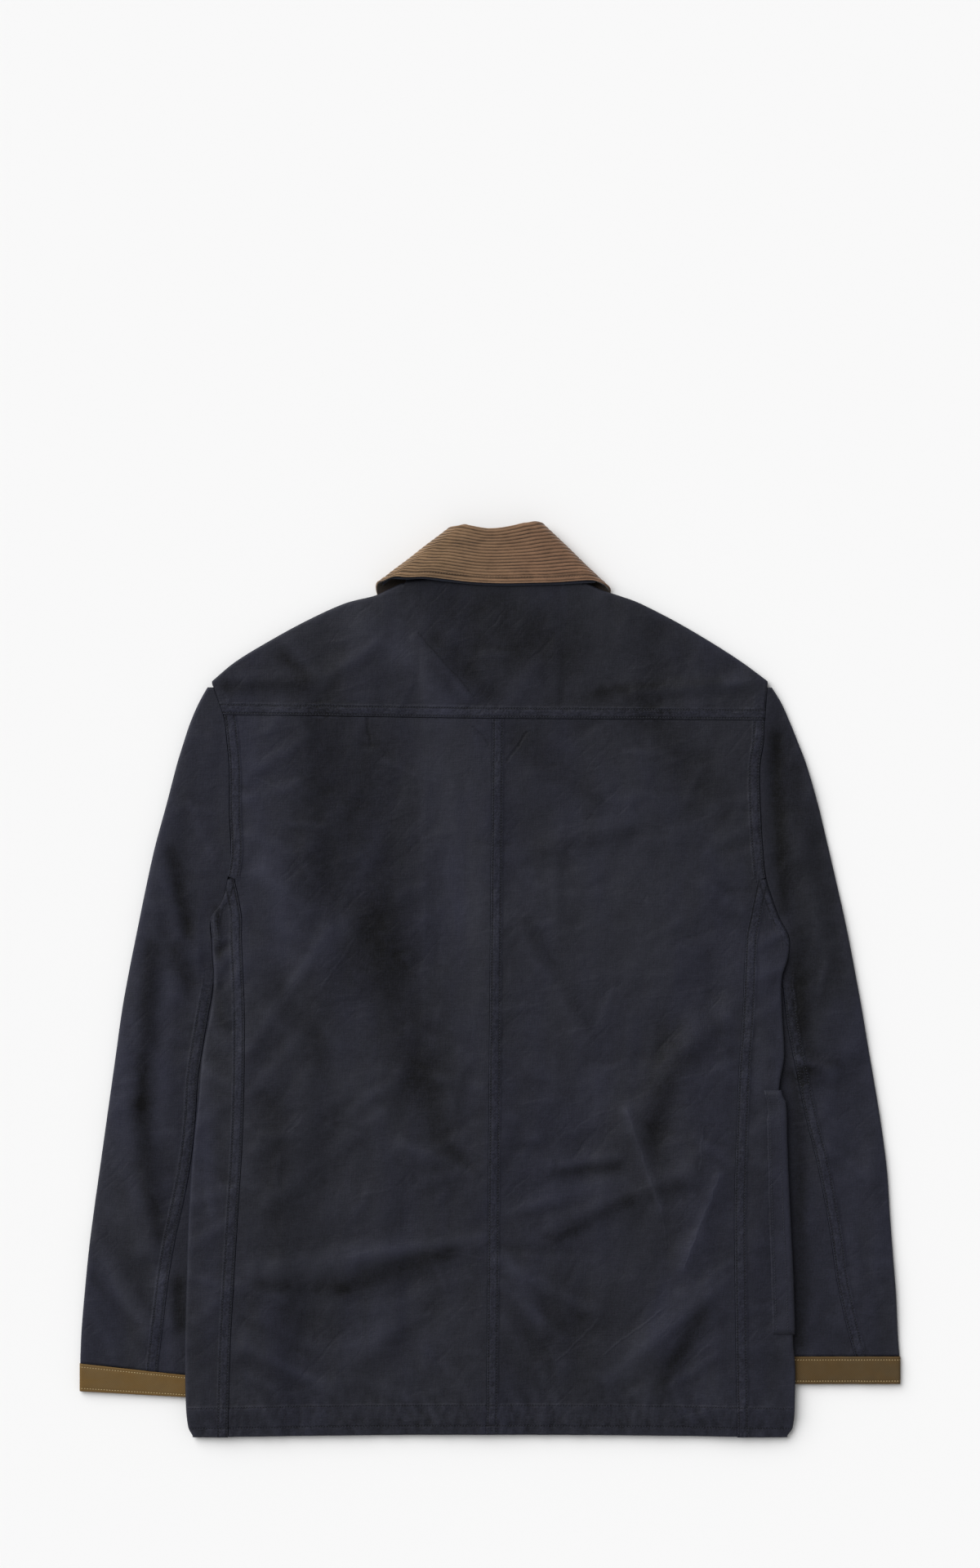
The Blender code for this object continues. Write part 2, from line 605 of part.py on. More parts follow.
def make_stand():
    """From the neck seam up to the inner side of the roll; its own side is the one in the neck."""
    rows = 3

    def place(i, j, out=0.0):
        row = COLLAR[i]
        along, _, normal = leaf_frame(row)
        corner = smooth(abs(row[0] - 6), 20, 28) * smooth(row[1], 384, 390)
        roll_end = leaf_point(row, 0.0) - normal * 2 * ROLL + along * (FACING + mix(CLEAR, CORNER_GAP, corner))
        half = (NECK_TOP - 2 * CLOTH - NECK_LIFT) / 2
        neck = Vector((row[4], row[5], NECK_LIFT + CLOTH + half)) + normal * half
        return neck.lerp(roll_end, j / rows) + normal * out

    stand = sheet("collar_stand", [(len(COLLAR) - 1, rows, place)], navy, CLOTH)
    set_wall(stand, len(COLLAR), place, lambda i, j: place(i, j, CLOTH))


def make_pocket(name, side):
    """A patch on the outside of side body and front; the right one is wrapped round the side fold."""
    first = 2 if side == 2 else sum(SIDE_COUNTS[:2])
    beside = sum(SIDE_COUNTS) - first
    columns = beside + 4

    def place(i, j):
        if i <= beside - 1:
            return side_point(first + i, POCKET_ROWS[0] + j, side, POCKET_LIFT)
        return front_point(i - beside, POCKET_ROWS[0] + j, side, POCKET_LIFT)

    sheet(name, [(columns, POCKET_ROWS[1] - POCKET_ROWS[0], place)], waxed, CLOTH, up=side == 2)


for old in list(bpy.data.objects):
    bpy.data.objects.remove(old)
jacket = bpy.data.collections.new("waxed_cotton_jacket")
bpy.context.scene.collection.children.link(jacket)

waxed = finish("waxed_cotton", (0.021, 0.023, 0.031), 0.55)
navy = finish("navy_cotton", (0.018, 0.021, 0.036), 0.75)
olive = finish("olive_cotton", (0.110, 0.069, 0.028), 0.85)
corduroy = finish("brown_corduroy", (0.190, 0.110, 0.062), 0.9)

make_yoke()
make_back("back_left", 1)
make_back("back_right", 2)
make_side("side_left", 1)
make_side("side_right", 2)
make_front("front_left", 1)
make_front("front_right", 2)
make_sleeve_top("sleeve_top_left", 1)
make_sleeve_top("sleeve_top_right", 2)
make_sleeve_under("sleeve_under_left", 1)
make_sleeve_under("sleeve_under_right", 2)
make_cuff("cuff_left", 1)
make_cuff("cuff_right", 2)
make_collar()
make_under_collar()
make_stand()
make_pocket("pocket_left", 1)
make_pocket("pocket_right", 2)
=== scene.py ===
"""Waxed cotton jacket with a corduroy collar, laid flat on its front, back up.

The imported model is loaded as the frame, and each of its solids is dressed in cloth of the same form.
Lengths are millimetres in the tables and functions, and metres in the meshes. The wearer's left is -X.
"""
import math
import random

import bmesh
import bpy
from mathutils import Matrix, Vector, noise


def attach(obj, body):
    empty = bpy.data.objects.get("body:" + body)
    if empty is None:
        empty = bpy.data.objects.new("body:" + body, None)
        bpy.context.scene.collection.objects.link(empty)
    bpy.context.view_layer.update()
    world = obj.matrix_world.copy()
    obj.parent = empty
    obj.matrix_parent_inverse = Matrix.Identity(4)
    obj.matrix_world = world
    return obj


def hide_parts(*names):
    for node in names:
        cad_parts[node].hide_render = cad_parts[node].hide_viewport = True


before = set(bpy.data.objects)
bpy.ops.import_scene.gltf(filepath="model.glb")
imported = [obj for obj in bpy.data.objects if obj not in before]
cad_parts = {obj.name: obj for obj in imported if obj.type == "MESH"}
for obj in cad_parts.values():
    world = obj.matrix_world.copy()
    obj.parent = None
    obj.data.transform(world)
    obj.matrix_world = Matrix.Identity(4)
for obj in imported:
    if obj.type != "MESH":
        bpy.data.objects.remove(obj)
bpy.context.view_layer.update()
MM = 0.001


# ---- Camera, table and light ---------------------------------------------------------------------
# The jacket is seen straight from above, by a long lens, on a plain pale table. One broad soft light
# stands over its left shoulder, and the white room fills the rest.
VIEW = (864.0, 1382.4)           # what the camera takes in, across and up
VIEW_CENTRE = (0.0, 171.9)
LENS, FILM = 100.0, 36.0
TABLE_HALF = 6.0                 # metres, half the table's side
TABLE_BELOW = 0.0004             # metres, from the cloth down to the table
TABLE_WHITE = (0.90, 0.90, 0.90, 1.0)
SUN_FROM = Vector((-0.90, 0.86, 1.0))
SUN_ENERGY, SUN_SPREAD = 3.33, math.radians(58)
ROOM_LOW, ROOM_HIGH = 0.84, 0.16         # brightness of the walls, and of the ceiling round the camera

camera = bpy.data.objects.new("camera", bpy.data.cameras.new("camera"))
bpy.context.scene.collection.objects.link(camera)
camera.data.lens = LENS
camera.data.sensor_fit = "VERTICAL"
camera.data.sensor_height = FILM
camera.location = (VIEW_CENTRE[0] * MM, VIEW_CENTRE[1] * MM, VIEW[1] * MM * LENS / FILM)
bpy.context.scene.camera = camera

bed = bmesh.new()
bmesh.ops.create_grid(bed, x_segments=1, y_segments=1, size=TABLE_HALF)
bmesh.ops.translate(bed, verts=bed.verts, vec=(0.0, 0.0, -TABLE_BELOW))
table_mesh = bpy.data.meshes.new("table")
bed.to_mesh(table_mesh)
bed.free()
table = bpy.data.objects.new("table", table_mesh)
bpy.context.scene.collection.objects.link(table)
table_white = bpy.data.materials.new("table_white")
table_white.use_nodes = True
for socket, value in (("Base Color", TABLE_WHITE), ("Roughness", 0.9), ("Specular IOR Level", 0.1)):
    table_white.node_tree.nodes["Principled BSDF"].inputs[socket].default_value = value
table_mesh.materials.append(table_white)

sun = bpy.data.objects.new("soft_light", bpy.data.lights.new("soft_light", "SUN"))
bpy.context.scene.collection.objects.link(sun)
sun.data.energy = SUN_ENERGY
sun.data.angle = SUN_SPREAD
sun.rotation_euler = SUN_FROM.to_track_quat("Z", "Y").to_euler()
room = bpy.data.worlds.new("white_room")
room.use_nodes = True
room_nodes, room_links = room.node_tree.nodes, room.node_tree.links
direction = room_nodes.new("ShaderNodeTexCoord")
height = room_nodes.new("ShaderNodeSeparateXYZ")
walls = room_nodes.new("ShaderNodeMapRange")
walls.inputs["To Min"].default_value = ROOM_LOW
walls.inputs["To Max"].default_value = ROOM_HIGH
room_links.new(direction.outputs["Generated"], height.inputs[0])
room_links.new(height.outputs["Z"], walls.inputs["Value"])
room_links.new(walls.outputs["Result"], room_nodes["Background"].inputs["Strength"])
room_nodes["Background"].inputs["Color"].default_value = (1.0, 1.0, 1.0, 1.0)
bpy.context.scene.world = room
bpy.context.scene.view_settings.view_transform = "Standard"


# ---- Backs ---------------------------------------------------------------------------------------
# Two halves of waxed cotton, joined down the centre by a flat-felled seam with two rows of stitches.
# Their hem is turned up once and sewn twice. The cloth is dry with old wax: charcoal where it has worn
# thin, navy where it lies thick, and paler along the creases.
# Over that, painted light and shade lie in its tone: paler where its folds stand proud, darker in their
# hollows.
CLOTH = 1.5                      # outer faces of the solids are this far from their inner ones
WALL = 1.0                       # the cloth itself
SEAM = 0.3                       # gap between two pieces at a seam
CLEAR = 0.4                      # and between two that lie on each other
SLACK, EDGE_SLACK, SLACK_MAX = 2.6, 1.2, 5.2     # room between front and back: inside, at edges, at most
FOLD = 2.2                       # outer radius of a pressed fold
SLEEVE_FLAT, SLEEVE_LIFT = 4.0, 4.5      # height of a flat sleeve, and how far it lifts the body on it
POCKET_LIFT = CLOTH + CLEAR
CORDUROY = 2.0
NECK_LIFT = CORDUROY + 0.8       # the collar's front points lift the fronts by this much
NECK_TOP = 8.2                   # height of the yoke at the neck seam
NECK_X = 3                       # x of the middle of the neck
CENTRE_TILT = (1.8, -3.6)        # x of the centre seam at the yoke and at the hem
HEM_Y, HEM_RISE = -403.5, 2.5    # y of the hem's lowest point, and the rise of its middle
HEM_HALF = 262.0                 # half its width
YOKE_Y = (233.0, 229.6, 228.0)   # y of the yoke seam at its left end, its centre and its right end
SIDE_TOP = 88.0                  # y where the side bodies end below the arm
BACK_WIDTH, BACK_LENGTH, BACK_MIDDLE = 218, 634, 110
HEM_LEVEL = -390                 # y at which the rows of stitches along the hem find their ends
OUTWARD = {1: -1, 2: 1}          # the way out from the centre, for the tables' left and right columns
PITCH = 2.4       # of the cloth's mesh
FINE = 0.8        # of its mesh at the seams

# y, left edge, right edge: the armhole seams above the underarm, the side folds below it
BODY = (
    (-402, -262.0, 262.0), (-395, -265.7, 266.6), (-372, -267.8, 268.4), (-322, -268.3, 268.6),
    (-264, -266.8, 267.1), (-204, -264.8, 264.2), (-144, -260.6, 261.6), (-108, -256.6, 260.4),
    (-99, -255.8, 256.4), (-66, -253.0, 259.0), (-25, -245.5, 257.0), (2, -243.0, 257.2),
    (20, -244.2, 262.6), (37, -245.2, 263.4), (54, -246.0, 255.0), (70, -236.9, 249.0),
    (90, -231.2, 243.0), (112, -228.2, 240.5), (147, -229.5, 238.3), (186, -229.7, 237.8),
    (210, -231.6, 241.0), (233, -234.7, 242.0), (263, -244.8, 244.4),
)
# y, left, right: seams between the backs and the side bodies
BACK_SEAM = (
    (-402, -230.4, 217.4), (-322, -228.2, 216.0), (-264, -225.0, 215.3), (-204, -221.4, 214.8),
    (-144, -217.8, 216.2), (-84, -216.0, 218.6), (-25, -216.0, 222.5), (35, -218.6, 225.0),
    (57, -219.0, 229.0), (92, -226.0, 236.4),
)
# y, left, right: inner folds of the sleeves, under the body
HIDDEN_FOLD = (
    (-375, -226, 226), (-338, -224, 224), (-200, -206, 208), (-100, -192, 198),
    (-60, -200, 207), (-30, -222, 234), (-6, -237, 251), (40, -232, 246), (60, -225, 240),
)
# x, y of one end; x, y of the other; width; height: the largest folds, as the solids have them
FOLDS = (
    (-65, 309, -17, 251, 12, -1.6), (-100, 300, -50, 262, 20, 1.2), (128, 252, 226, 262, 13, 1.2),
    (121, -116, 150, -201, 13, 1.4), (201, -174, 169, -254, 12, 1.3), (-76, -148, -7, -174, 16, 1.4),
    (-119, -244, -7, -228, 18, 1.3), (9, -249, 92, -292, 16, 1.1), (105, -350, 206, -265, 18, 1.3),
    (-214, -63, -140, 44, 20, 1.3), (-214, -323, -140, -361, 12, 1.2), (-190, -200, -120, -150, 22, -1.0),
    (-60, 150, -45, -60, 42, -1.0), (60, 90, 112, -70, 40, -1.1), (130, -90, 150, -120, 34, -1.2),
    (-150, -290, -60, -330, 20, -1.1), (40, -330, 120, -300, 20, -1.0), (-170, 190, -120, 120, 26, 0.9),
    (30, 190, 120, 150, 30, 0.8), (20, -60, 90, -95, 22, -0.9), (-174, 224, -168, 30, 22, 2.2),
    (-2, 226, -4, -190, 15, 1.3), (-204, -258, -60, -240, 13, 1.7), (182, -38, 128, -130, 13, 1.9),
    (56, -165, 112, -157, 7, 1.1), (58, -218, 172, -172, 10, 1.6), (138, -356, 174, -278, 11, 1.7),
    (60, 234, 182, 242, 10, 1.0), (-96, 318, -70, 286, 16, 1.1), (26, 110, 120, 138, 12, 1.0),
    (24, 52, 86, -50, 11, 1.1), (10, -246, 62, -340, 9, 1.0), (-120, -336, -70, -292, 12, 1.1),
    (-160, -20, -128, 46, 12, 1.2), (-44, -90, -16, -150, 12, 1.1), (96, 316, 184, 286, 14, 1.0),
    (-236, 266, -150, 262, 9, 1.1), (-176, 296, -150, 262, 8, 1.0),
)
# the same for the finer creases
CREASES = (
    (-66, 300, -20, 249, 4.5, 0.8), (-140, 268, -96, 296, 6, 0.6),
    (128, 253, 226, 262, 5, 0.8), (150, 246, 224, 250, 5, -0.5), (70, 300, 30, 262, 9, 0.5),
    (-214, 178, -160, 214, 6, 0.7), (-214, 158, -170, 172, 5, 0.6), (-212, 126, -178, 112, 6, 0.6),
    (-200, 92, -160, 60, 7, 0.7), (-214, 46, -150, 20, 6, -0.5), (-170, 108, -130, 150, 10, 0.6),
    (-212, -63, -142, 42, 6, 0.8), (-208, -100, -150, -28, 6, 0.6), (-204, -128, -160, -70, 5, -0.5),
    (-205, -150, -120, -95, 8, 0.6), (-196, -196, -96, -120, 8, 0.7), (-120, -116, -80, -84, 6, 0.6),
    (-10, -60, -52, -44, 6, -0.5), (-8, -96, -60, -84, 5, 0.5), (-8, -118, -46, -140, 5, -0.5),
    (-76, -146, -30, -166, 6, 0.9), (-34, -150, -8, -172, 5, -0.8), (-56, -178, -10, -168, 6, 0.6),
    (-119, -244, -7, -228, 6, 0.8), (-112, -256, -30, -240, 6, -0.6), (-100, -290, -20, -262, 7, 0.6),
    (121, -116, 150, -201, 4, 0.9), (201, -174, 170, -254, 4, 0.8), (206, -196, 150, -240, 7, -0.5),
    (104, -352, 206, -266, 7, 0.9), (120, -362, 208, -300, 6, -0.7), (138, -372, 200, -330, 5, 0.6),
    (9, -249, 92, -292, 6, 0.8), (8, -236, 70, -240, 5, -0.6), (10, -270, 62, -316, 6, 0.6),
    (12, -300, 48, -352, 6, 0.5), (10, -206, 60, -196, 6, 0.6), (40, -196, 116, -176, 8, 0.6),
    (30, -152, 96, -140, 8, -0.5), (14, -118, 60, -152, 6, 0.5), (62, -228, 120, -196, 7, -0.5),
    (182, -140, 214, -162, 5, 0.6), (176, -60, 214, -84, 7, 0.5), (186, -16, 218, -40, 6, 0.5),
    (190, 110, 236, 140, 6, 0.6), (196, 150, 236, 160, 6, 0.5), (188, 84, 222, 60, 6, 0.6),
    (-214, -323, -140, -361, 5, 0.8), (-216, -300, -160, -330, 5, -0.6), (-210, -350, -170, -368, 5, 0.6),
    (-222, -270, -180, -282, 5, 0.5), (-120, -350, -60, -372, 6, 0.5), (-40, -340, -12, -368, 6, 0.5),
)
# the same for the tone: paler (+) and darker (-) patches, mostly painted light and shade on the folds with
# a painted shadow on the right sleeve beside the body, partly wax rubbed off or lying thick
WEAR_AND_SHADE_PATCHES = (
    (-112, 302, -80, 300, 20, 0.7), (-74, 285, -40, 238, 14, 0.6), (-30, 332, 62, 304, 26, -0.8),
    (-46, 300, 0, 252, 9, -0.6),
    (-12, 288, 92, 286, 20, -0.4), (96, 254, 200, 261, 5, -0.8), (60, 243, 130, 250, 8, -0.5),
    (-232, 257, -166, 261, 7, -0.8), (-182, 286, -156, 264, 6, -0.8), (62, 302, 112, 276, 16, 0.4),
    (112, 330, 172, 290, 12, -0.4), (-150, 316, -120, 326, 12, 0.2), (-44, 228, -24, 60, 20, 0.7),
    (-26, 60, -18, -60, 13, 0.4), (-152, 238, -150, 96, 24, -0.7), (-112, 196, -96, 10, 30, -0.7),
    (-98, 50, -62, -80, 26, -0.7), (-62, -80, -36, -160, 17, -0.7), (-216, 222, -202, 100, 16, 0.6),
    (-196, 104, -180, 22, 14, 0.7), (-172, 2, -130, 42, 8, 0.5), (-130, 40, -98, 128, 9, 0.35),
    (-154, -20, -150, -84, 10, -0.4), (-190, -108, -182, -244, 13, -0.6), (-128, -60, -86, -150, 22, 0.25),
    (-130, -272, -40, -242, 9, -0.9), (-200, -268, -128, -273, 6, -0.6), (-192, -250, -60, -234, 8, 0.4),
    (-132, -332, -88, -298, 14, 0.6), (-176, -296, -140, -310, 16, -0.4), (-60, -330, -30, -300, 14, 0.3),
    (20, 64, 80, 104, 34, 0.35), (112, 176, 132, 30, 40, 0.30), (60, 0, 108, -100, 36, 0.30),
    (28, 212, 92, 160, 13, -0.6), (140, 236, 192, 166, 20, -0.7), (46, 114, 122, 130, 8, -0.6),
    (30, 50, 90, -50, 7, -0.6), (162, -56, 140, -140, 17, -0.8), (196, -44, 154, -92, 12, -0.5),
    (58, -170, 112, -163, 5, -0.8), (58, -226, 122, -194, 7, -0.8), (122, -194, 172, -178, 7, -0.6),
    (34, -340, 64, -290, 26, -0.5), (92, -300, 88, -360, 18, -0.4), (150, -362, 188, -290, 8, -0.8),
    (118, -350, 160, -268, 10, 0.7), (12, -196, 110, -182, 12, 0.35), (16, -246, 44, -300, 6, 0.5),
    (-222, 60, -218, -180, 9, 0.5), (-241, 62, -238, 20, 4, -0.9), (-241, -8, -231, -40, 5, -0.9),
    (-252, -60, -246, -200, 6, 0.4), (-272, 244, -330, 10, 20, 0.7), (-282, 112, -266, 42, 8, -1.0),
    (-276, 24, -269, -4, 8, -0.9), (-300, 30, -307, -110, 7, -1.1), (-311, -110, -294, -224, 8, -1.1),
    (-275, -268, -272, -304, 7, -1.0), (-326, -40, -334, -200, 14, 0.6), (-350, -230, -300, -300, 8, -0.5),
    (-340, -250, -300, -312, 8, 0.4), (262, 206, 300, 0, 22, -0.6), (251, 216, 259, 62, 7, -0.9),
    (268, 40, 274, -40, 8, -0.8), (300, 190, 318, 60, 12, -0.3),
    (274, 0, 280, -80, 12, -0.7), (272, -90, 274, -320, 7, -1.0), (300, -120, 332, -240, 22, 0.25),
    (262, -84, 306, -74, 5, -0.6), (-140, -392, 200, -392, 5, -0.4), (238, 20, 236, -150, 7, 0.4),
    (-292, -262, -284, -325, 9, 0.6), (-286, 0, -290, -140, 7, 0.7), (-330, -220, -322, -318, 22, 0.3),
    (-249, -75, -247, -290, 9, 0.35), (-130, 284, 130, 284, 34, -0.22), (266, 179, 268, 100, 14, -0.25),
    (243, -145, 243, -325, 9, -0.2),
)
# the smallest ones lie all over, most of them across the cloth and some up and down
chance = random.Random(5)
SCATTERED = []
for _ in range(300):
    x, y = chance.uniform(-350, 350), chance.uniform(-390, 330)
    turn = chance.gauss(0.35, 0.55) * (1 if chance.random() < 0.6 else -1)
    turn += 1.4 if chance.random() < 0.2 else 0.0
    length = chance.uniform(8, 34)
    SCATTERED.append((x, y, x + length * math.cos(turn), y + length * math.sin(turn),
                      chance.uniform(2.8, 6.0), chance.choice((-0.35, -0.25, 0.2, 0.3, 0.4))))
SCATTERED = tuple(SCATTERED)
HEM_BAND = 27.0                  # depth of the turned hem
HEM_ROWS = (8.0, 26.0)           # its rows of stitches, from its edge
FELL = 10.4                      # width of a felled seam
FELL_ROWS = (1.7, 8.9)           # its rows of stitches, from the seam
FELL_HEIGHT = 0.42
FELL_STRIP, HEM_STRIP = (0, FELL + 2), (0, HEM_BAND + 2)     # strips along an edge where the mesh is fine
ARM_STRIP = (BACK_WIDTH - 12, BACK_WIDTH)


def smooth(value, start, end):
    """0 before start, 1 past end, level at both."""
    t = min(1.0, max(0.0, (value - start) / (end - start)))
    return t * t * (3.0 - 2.0 * t)


def mix(a, b, t):
    return a + (b - a) * t


def rail(rows, key, column):
    """The column's value at a key of the first column, on a smooth curve through the rows."""
    last = len(rows) - 1
    if key <= rows[0][0]:
        return rows[0][column]
    if key >= rows[last][0]:
        return rows[last][column]
    i = max(n for n in range(last) if rows[n][0] <= key)

    def slope(n):
        before, after = max(0, n - 1), min(last, n + 1)
        return (rows[after][column] - rows[before][column]) / (rows[after][0] - rows[before][0])

    span = rows[i + 1][0] - rows[i][0]
    t = (key - rows[i][0]) / span
    a, b = rows[i][column], rows[i + 1][column]
    return (a * (1 + 2 * t) * (1 - t) ** 2 + slope(i) * span * t * (1 - t) ** 2
            + b * t * t * (3 - 2 * t) + slope(i + 1) * span * t * t * (t - 1))


FADED = 3                        # a crease has faded away at this many widths from its line
SQUARE, HALF_DIAGONAL = 20, 14.2
nearby = {}                      # the rows of a table that reach into each square of this size


def reaching(rows, column, row):
    """The rows of a table that reach into a square."""
    centre = Vector((SQUARE * column + SQUARE / 2, SQUARE * row + SQUARE / 2))
    found = []
    for crease in rows:
        start, end = Vector(crease[:2]), Vector(crease[2:4])
        share = max(0.0, min(1.0, (centre - start).dot(end - start) / (end - start).length_squared))
        if (start.lerp(end, share) - centre).length < FADED * crease[4] + HALF_DIAGONAL:
            found.append(crease)
    return found


def creases(rows, x, y):
    """Sum of soft ridges and troughs that fade towards their ends."""
    square = (id(rows), math.floor(x / SQUARE), math.floor(y / SQUARE))
    if square not in nearby:
        nearby[square] = reaching(rows, square[1], square[2])
    height = 0.0
    for x0, y0, x1, y1, width, rise in nearby[square]:
        along_x, along_y = x1 - x0, y1 - y0
        length = math.hypot(along_x, along_y)
        s = ((x - x0) * along_x + (y - y0) * along_y) / length
        off = ((x - x0) * along_y - (y - y0) * along_x) / length
        past = max(0.0, -s, s - length)
        away = (off * off + past * past) / (width * width)
        if away < FADED ** 2:
            height += rise * math.exp(-away)
    return height


def side_of(x):
    return 1 if x < 0 else 2


def edge(y, side):
    return rail(BODY, y, side)


def covered(x, y):
    """1 where the body lies on a sleeve, 0 away from it."""
    side = side_of(x)
    inner = abs(rail(HIDDEN_FOLD, y, side))
    across = smooth(abs(x), inner - 58, inner - 22)
    down = smooth(y, 56, 4)
    return across * down * mix(1.0, 0.25, smooth(y, -377, -400))


def pocketed(x, y):
    """1 where a patch pocket lies under the front."""
    return smooth(abs(x), 74, 100) * smooth(y, -344, -318) * smooth(y, -66, -92)


def near_neck(x, y):
    return smooth(abs(x - NECK_X), 150, 112) * smooth(y, 190, 282)


def low(x, y):
    """Outer face of the front, which is the jacket's underside."""
    return SLEEVE_LIFT * covered(x, y) + POCKET_LIFT * pocketed(x, y) + NECK_LIFT * near_neck(x, y)


def high(x, y):
    """Outer face of the back, as the solids have it."""
    lift = low(x, y)
    side = side_of(x)
    inboard = abs(edge(y, side)) - abs(x)
    pressed = smooth(inboard, 26, 2) * smooth(y, 110, 60)
    lapped = smooth(abs(x), 74, 56) * POCKET_LIFT
    slack = max(mix(SLACK - 0.25 * lift, EDGE_SLACK, pressed), lapped + 0.7)
    rise = creases(FOLDS, x, y) * (1.0 - 0.8 * pressed)
    most = SLACK_MAX - slack
    least = slack - 0.5 - lapped
    bend = most * math.tanh(rise / most) if rise > 0 else least * math.tanh(rise / max(0.1, least))
    cloth = lift + 2 * CLOTH + slack + bend
    return mix(cloth, NECK_TOP, smooth(abs(x - NECK_X), 122, 92) * smooth(y, 272, 322))


def ripple(x, y, seed):
    """Smooth unevenness between -1 and 1, another one for each seed."""
    return noise.noise(Vector((x, y, seed)))


def unevenness(x, y):
    """The small rises and dips of a cloth that was folded and laid out again."""
    broad = ripple(x / 46.0 + y / 160.0, y / 60.0, 3.1)
    small = ripple(x / 17.0 - y / 60.0, y / 24.0, 8.4)
    fine = ripple(x / 8.0 + y / 30.0, y / 7.0, 5.9)
    return 0.85 * broad + 0.50 * small + 0.16 * fine + creases(SCATTERED, x, y)


def lie(x, y):
    """Outer face of the back with its finer creases, which never reach down to the front."""
    inboard = abs(edge(y, side_of(x))) - abs(x)
    free = smooth(inboard, 0, 16) if y < 120 else 1.0
    fine = creases(CREASES, x, y) + unevenness(x, y)
    fine *= mix(0.25, 1.0, free) * smooth(y, 352, 334)
    return high(x, y) + (fine if fine > 0 else 0.9 * math.tanh(fine / 0.9))


def pucker(along, across):
    """The pinched bumps between two rows of stitches."""
    bump = ripple(along / 4.6, across / 3.6, 0.7)
    return 0.34 * bump + 0.16 * ripple(along / 2.4, across / 5.0, 5.2)


def fell(distance, along):
    """Height and darkness of a felled seam at a distance from its edge, on the side that is on top."""
    inside = smooth(distance, -0.1, 0.5) * smooth(distance, FELL + 0.8, FELL - 0.6)
    # On the rows of stitches the darkness rises to 1, which the waxed finish paints as shade in the drawn
    # grooves.
    drawn = sum(math.exp(-((distance - row) / 0.9) ** 2) for row in FELL_ROWS)
    beyond = smooth(distance, FELL + 16, FELL) * smooth(distance, FELL - 1, FELL + 2)
    height = inside * (FELL_HEIGHT + pucker(along, distance)) - 0.28 * drawn * inside
    return height + 0.7 * beyond * pucker(along * 0.45, distance * 0.25), inside * (0.5 + 0.5 * drawn)


def hem_turn(height, along):
    """The same for the turned hem, at a height above its edge."""
    inside = smooth(height, -0.1, 0.6) * smooth(height, HEM_BAND + 0.8, HEM_BAND - 0.6)
    drawn = sum(math.exp(-((height - row) / 1.0) ** 2) for row in HEM_ROWS)
    gathers = ripple(along / 9.0 + height * 0.06, height / 30.0, 2.2)
    gathers += 0.6 * ripple(along / 4.2 - height * 0.05, height / 14.0, 6.2)
    near = smooth(height, HEM_BAND + 22, HEM_BAND - 4)
    return 0.5 * inside - 0.3 * drawn * inside + 0.8 * near * gathers, inside * (0.22 + 0.78 * drawn)


def marks(length, pitch, fine=()):
    """Distances along a length: one each pitch, and closer inside each (start, end) of fine."""
    found = [0.0]
    while found[-1] < length:
        close = any(start <= found[-1] < end for start, end in fine)
        found.append(found[-1] + (FINE if close else pitch))
    return [length * mark / found[-1] for mark in found]


def yoke_seam(x):
    left, centre, right = YOKE_Y
    return mix(centre, left, min(1.0, -x / 235)) if x < 0 else mix(centre, right, min(1.0, x / 242))


def hem(x):
    return HEM_Y + HEM_RISE * (1.0 - (x / HEM_HALF) ** 2)


def back_seam(y, side):
    return rail(BACK_SEAM, y, side) if y < SIDE_TOP + 1 else edge(y, side)


def centre_seam(y):
    return mix(CENTRE_TILT[1], CENTRE_TILT[0], (y - HEM_Y) / (YOKE_Y[1] - HEM_Y))


def back_face(x, y, side):
    """Height and darkness of the back's outer face."""
    toward = OUTWARD[side]
    up, dark = hem_turn(y - hem(x), x)
    if side == 2:
        rise, band = fell(x - centre_seam(y), y)
        up, dark = up + rise, max(dark, band)
    if y > SIDE_TOP - 6:
        rise, band = fell(toward * (edge(y, side) - x), y)
        blend = smooth(y, SIDE_TOP - 6, SIDE_TOP + 4)
        up, dark = up + rise * blend, max(dark, band * blend)
    return lie(x, y) + up, dark


class Quantity:
    """A number in a finish; arithmetic on it adds the Math nodes."""

    def __init__(self, finish, socket):
        self.finish, self.socket = finish, socket

    def __add__(self, other):
        return self.finish.math("ADD", self, other)

    def __sub__(self, other):
        return self.finish.math("SUBTRACT", self, other)

    def __rsub__(self, other):
        return self.finish.math("SUBTRACT", other, self)

    def __mul__(self, other):
        return self.finish.math("MULTIPLY", self, other)

    __radd__ = __add__
    __rmul__ = __mul__

    def above(self, start, end):
        """0 at start, 1 at end, level at both."""
        return self.finish.node(
            "ShaderNodeMapRange", {"interpolation_type": "SMOOTHSTEP"},
            {"Value": self, "From Min": start, "From Max": end})


SWAY_SIZE, SWAY_MOST = 15.0, 7.0         # crease lines in a finish wander over this length, by this much


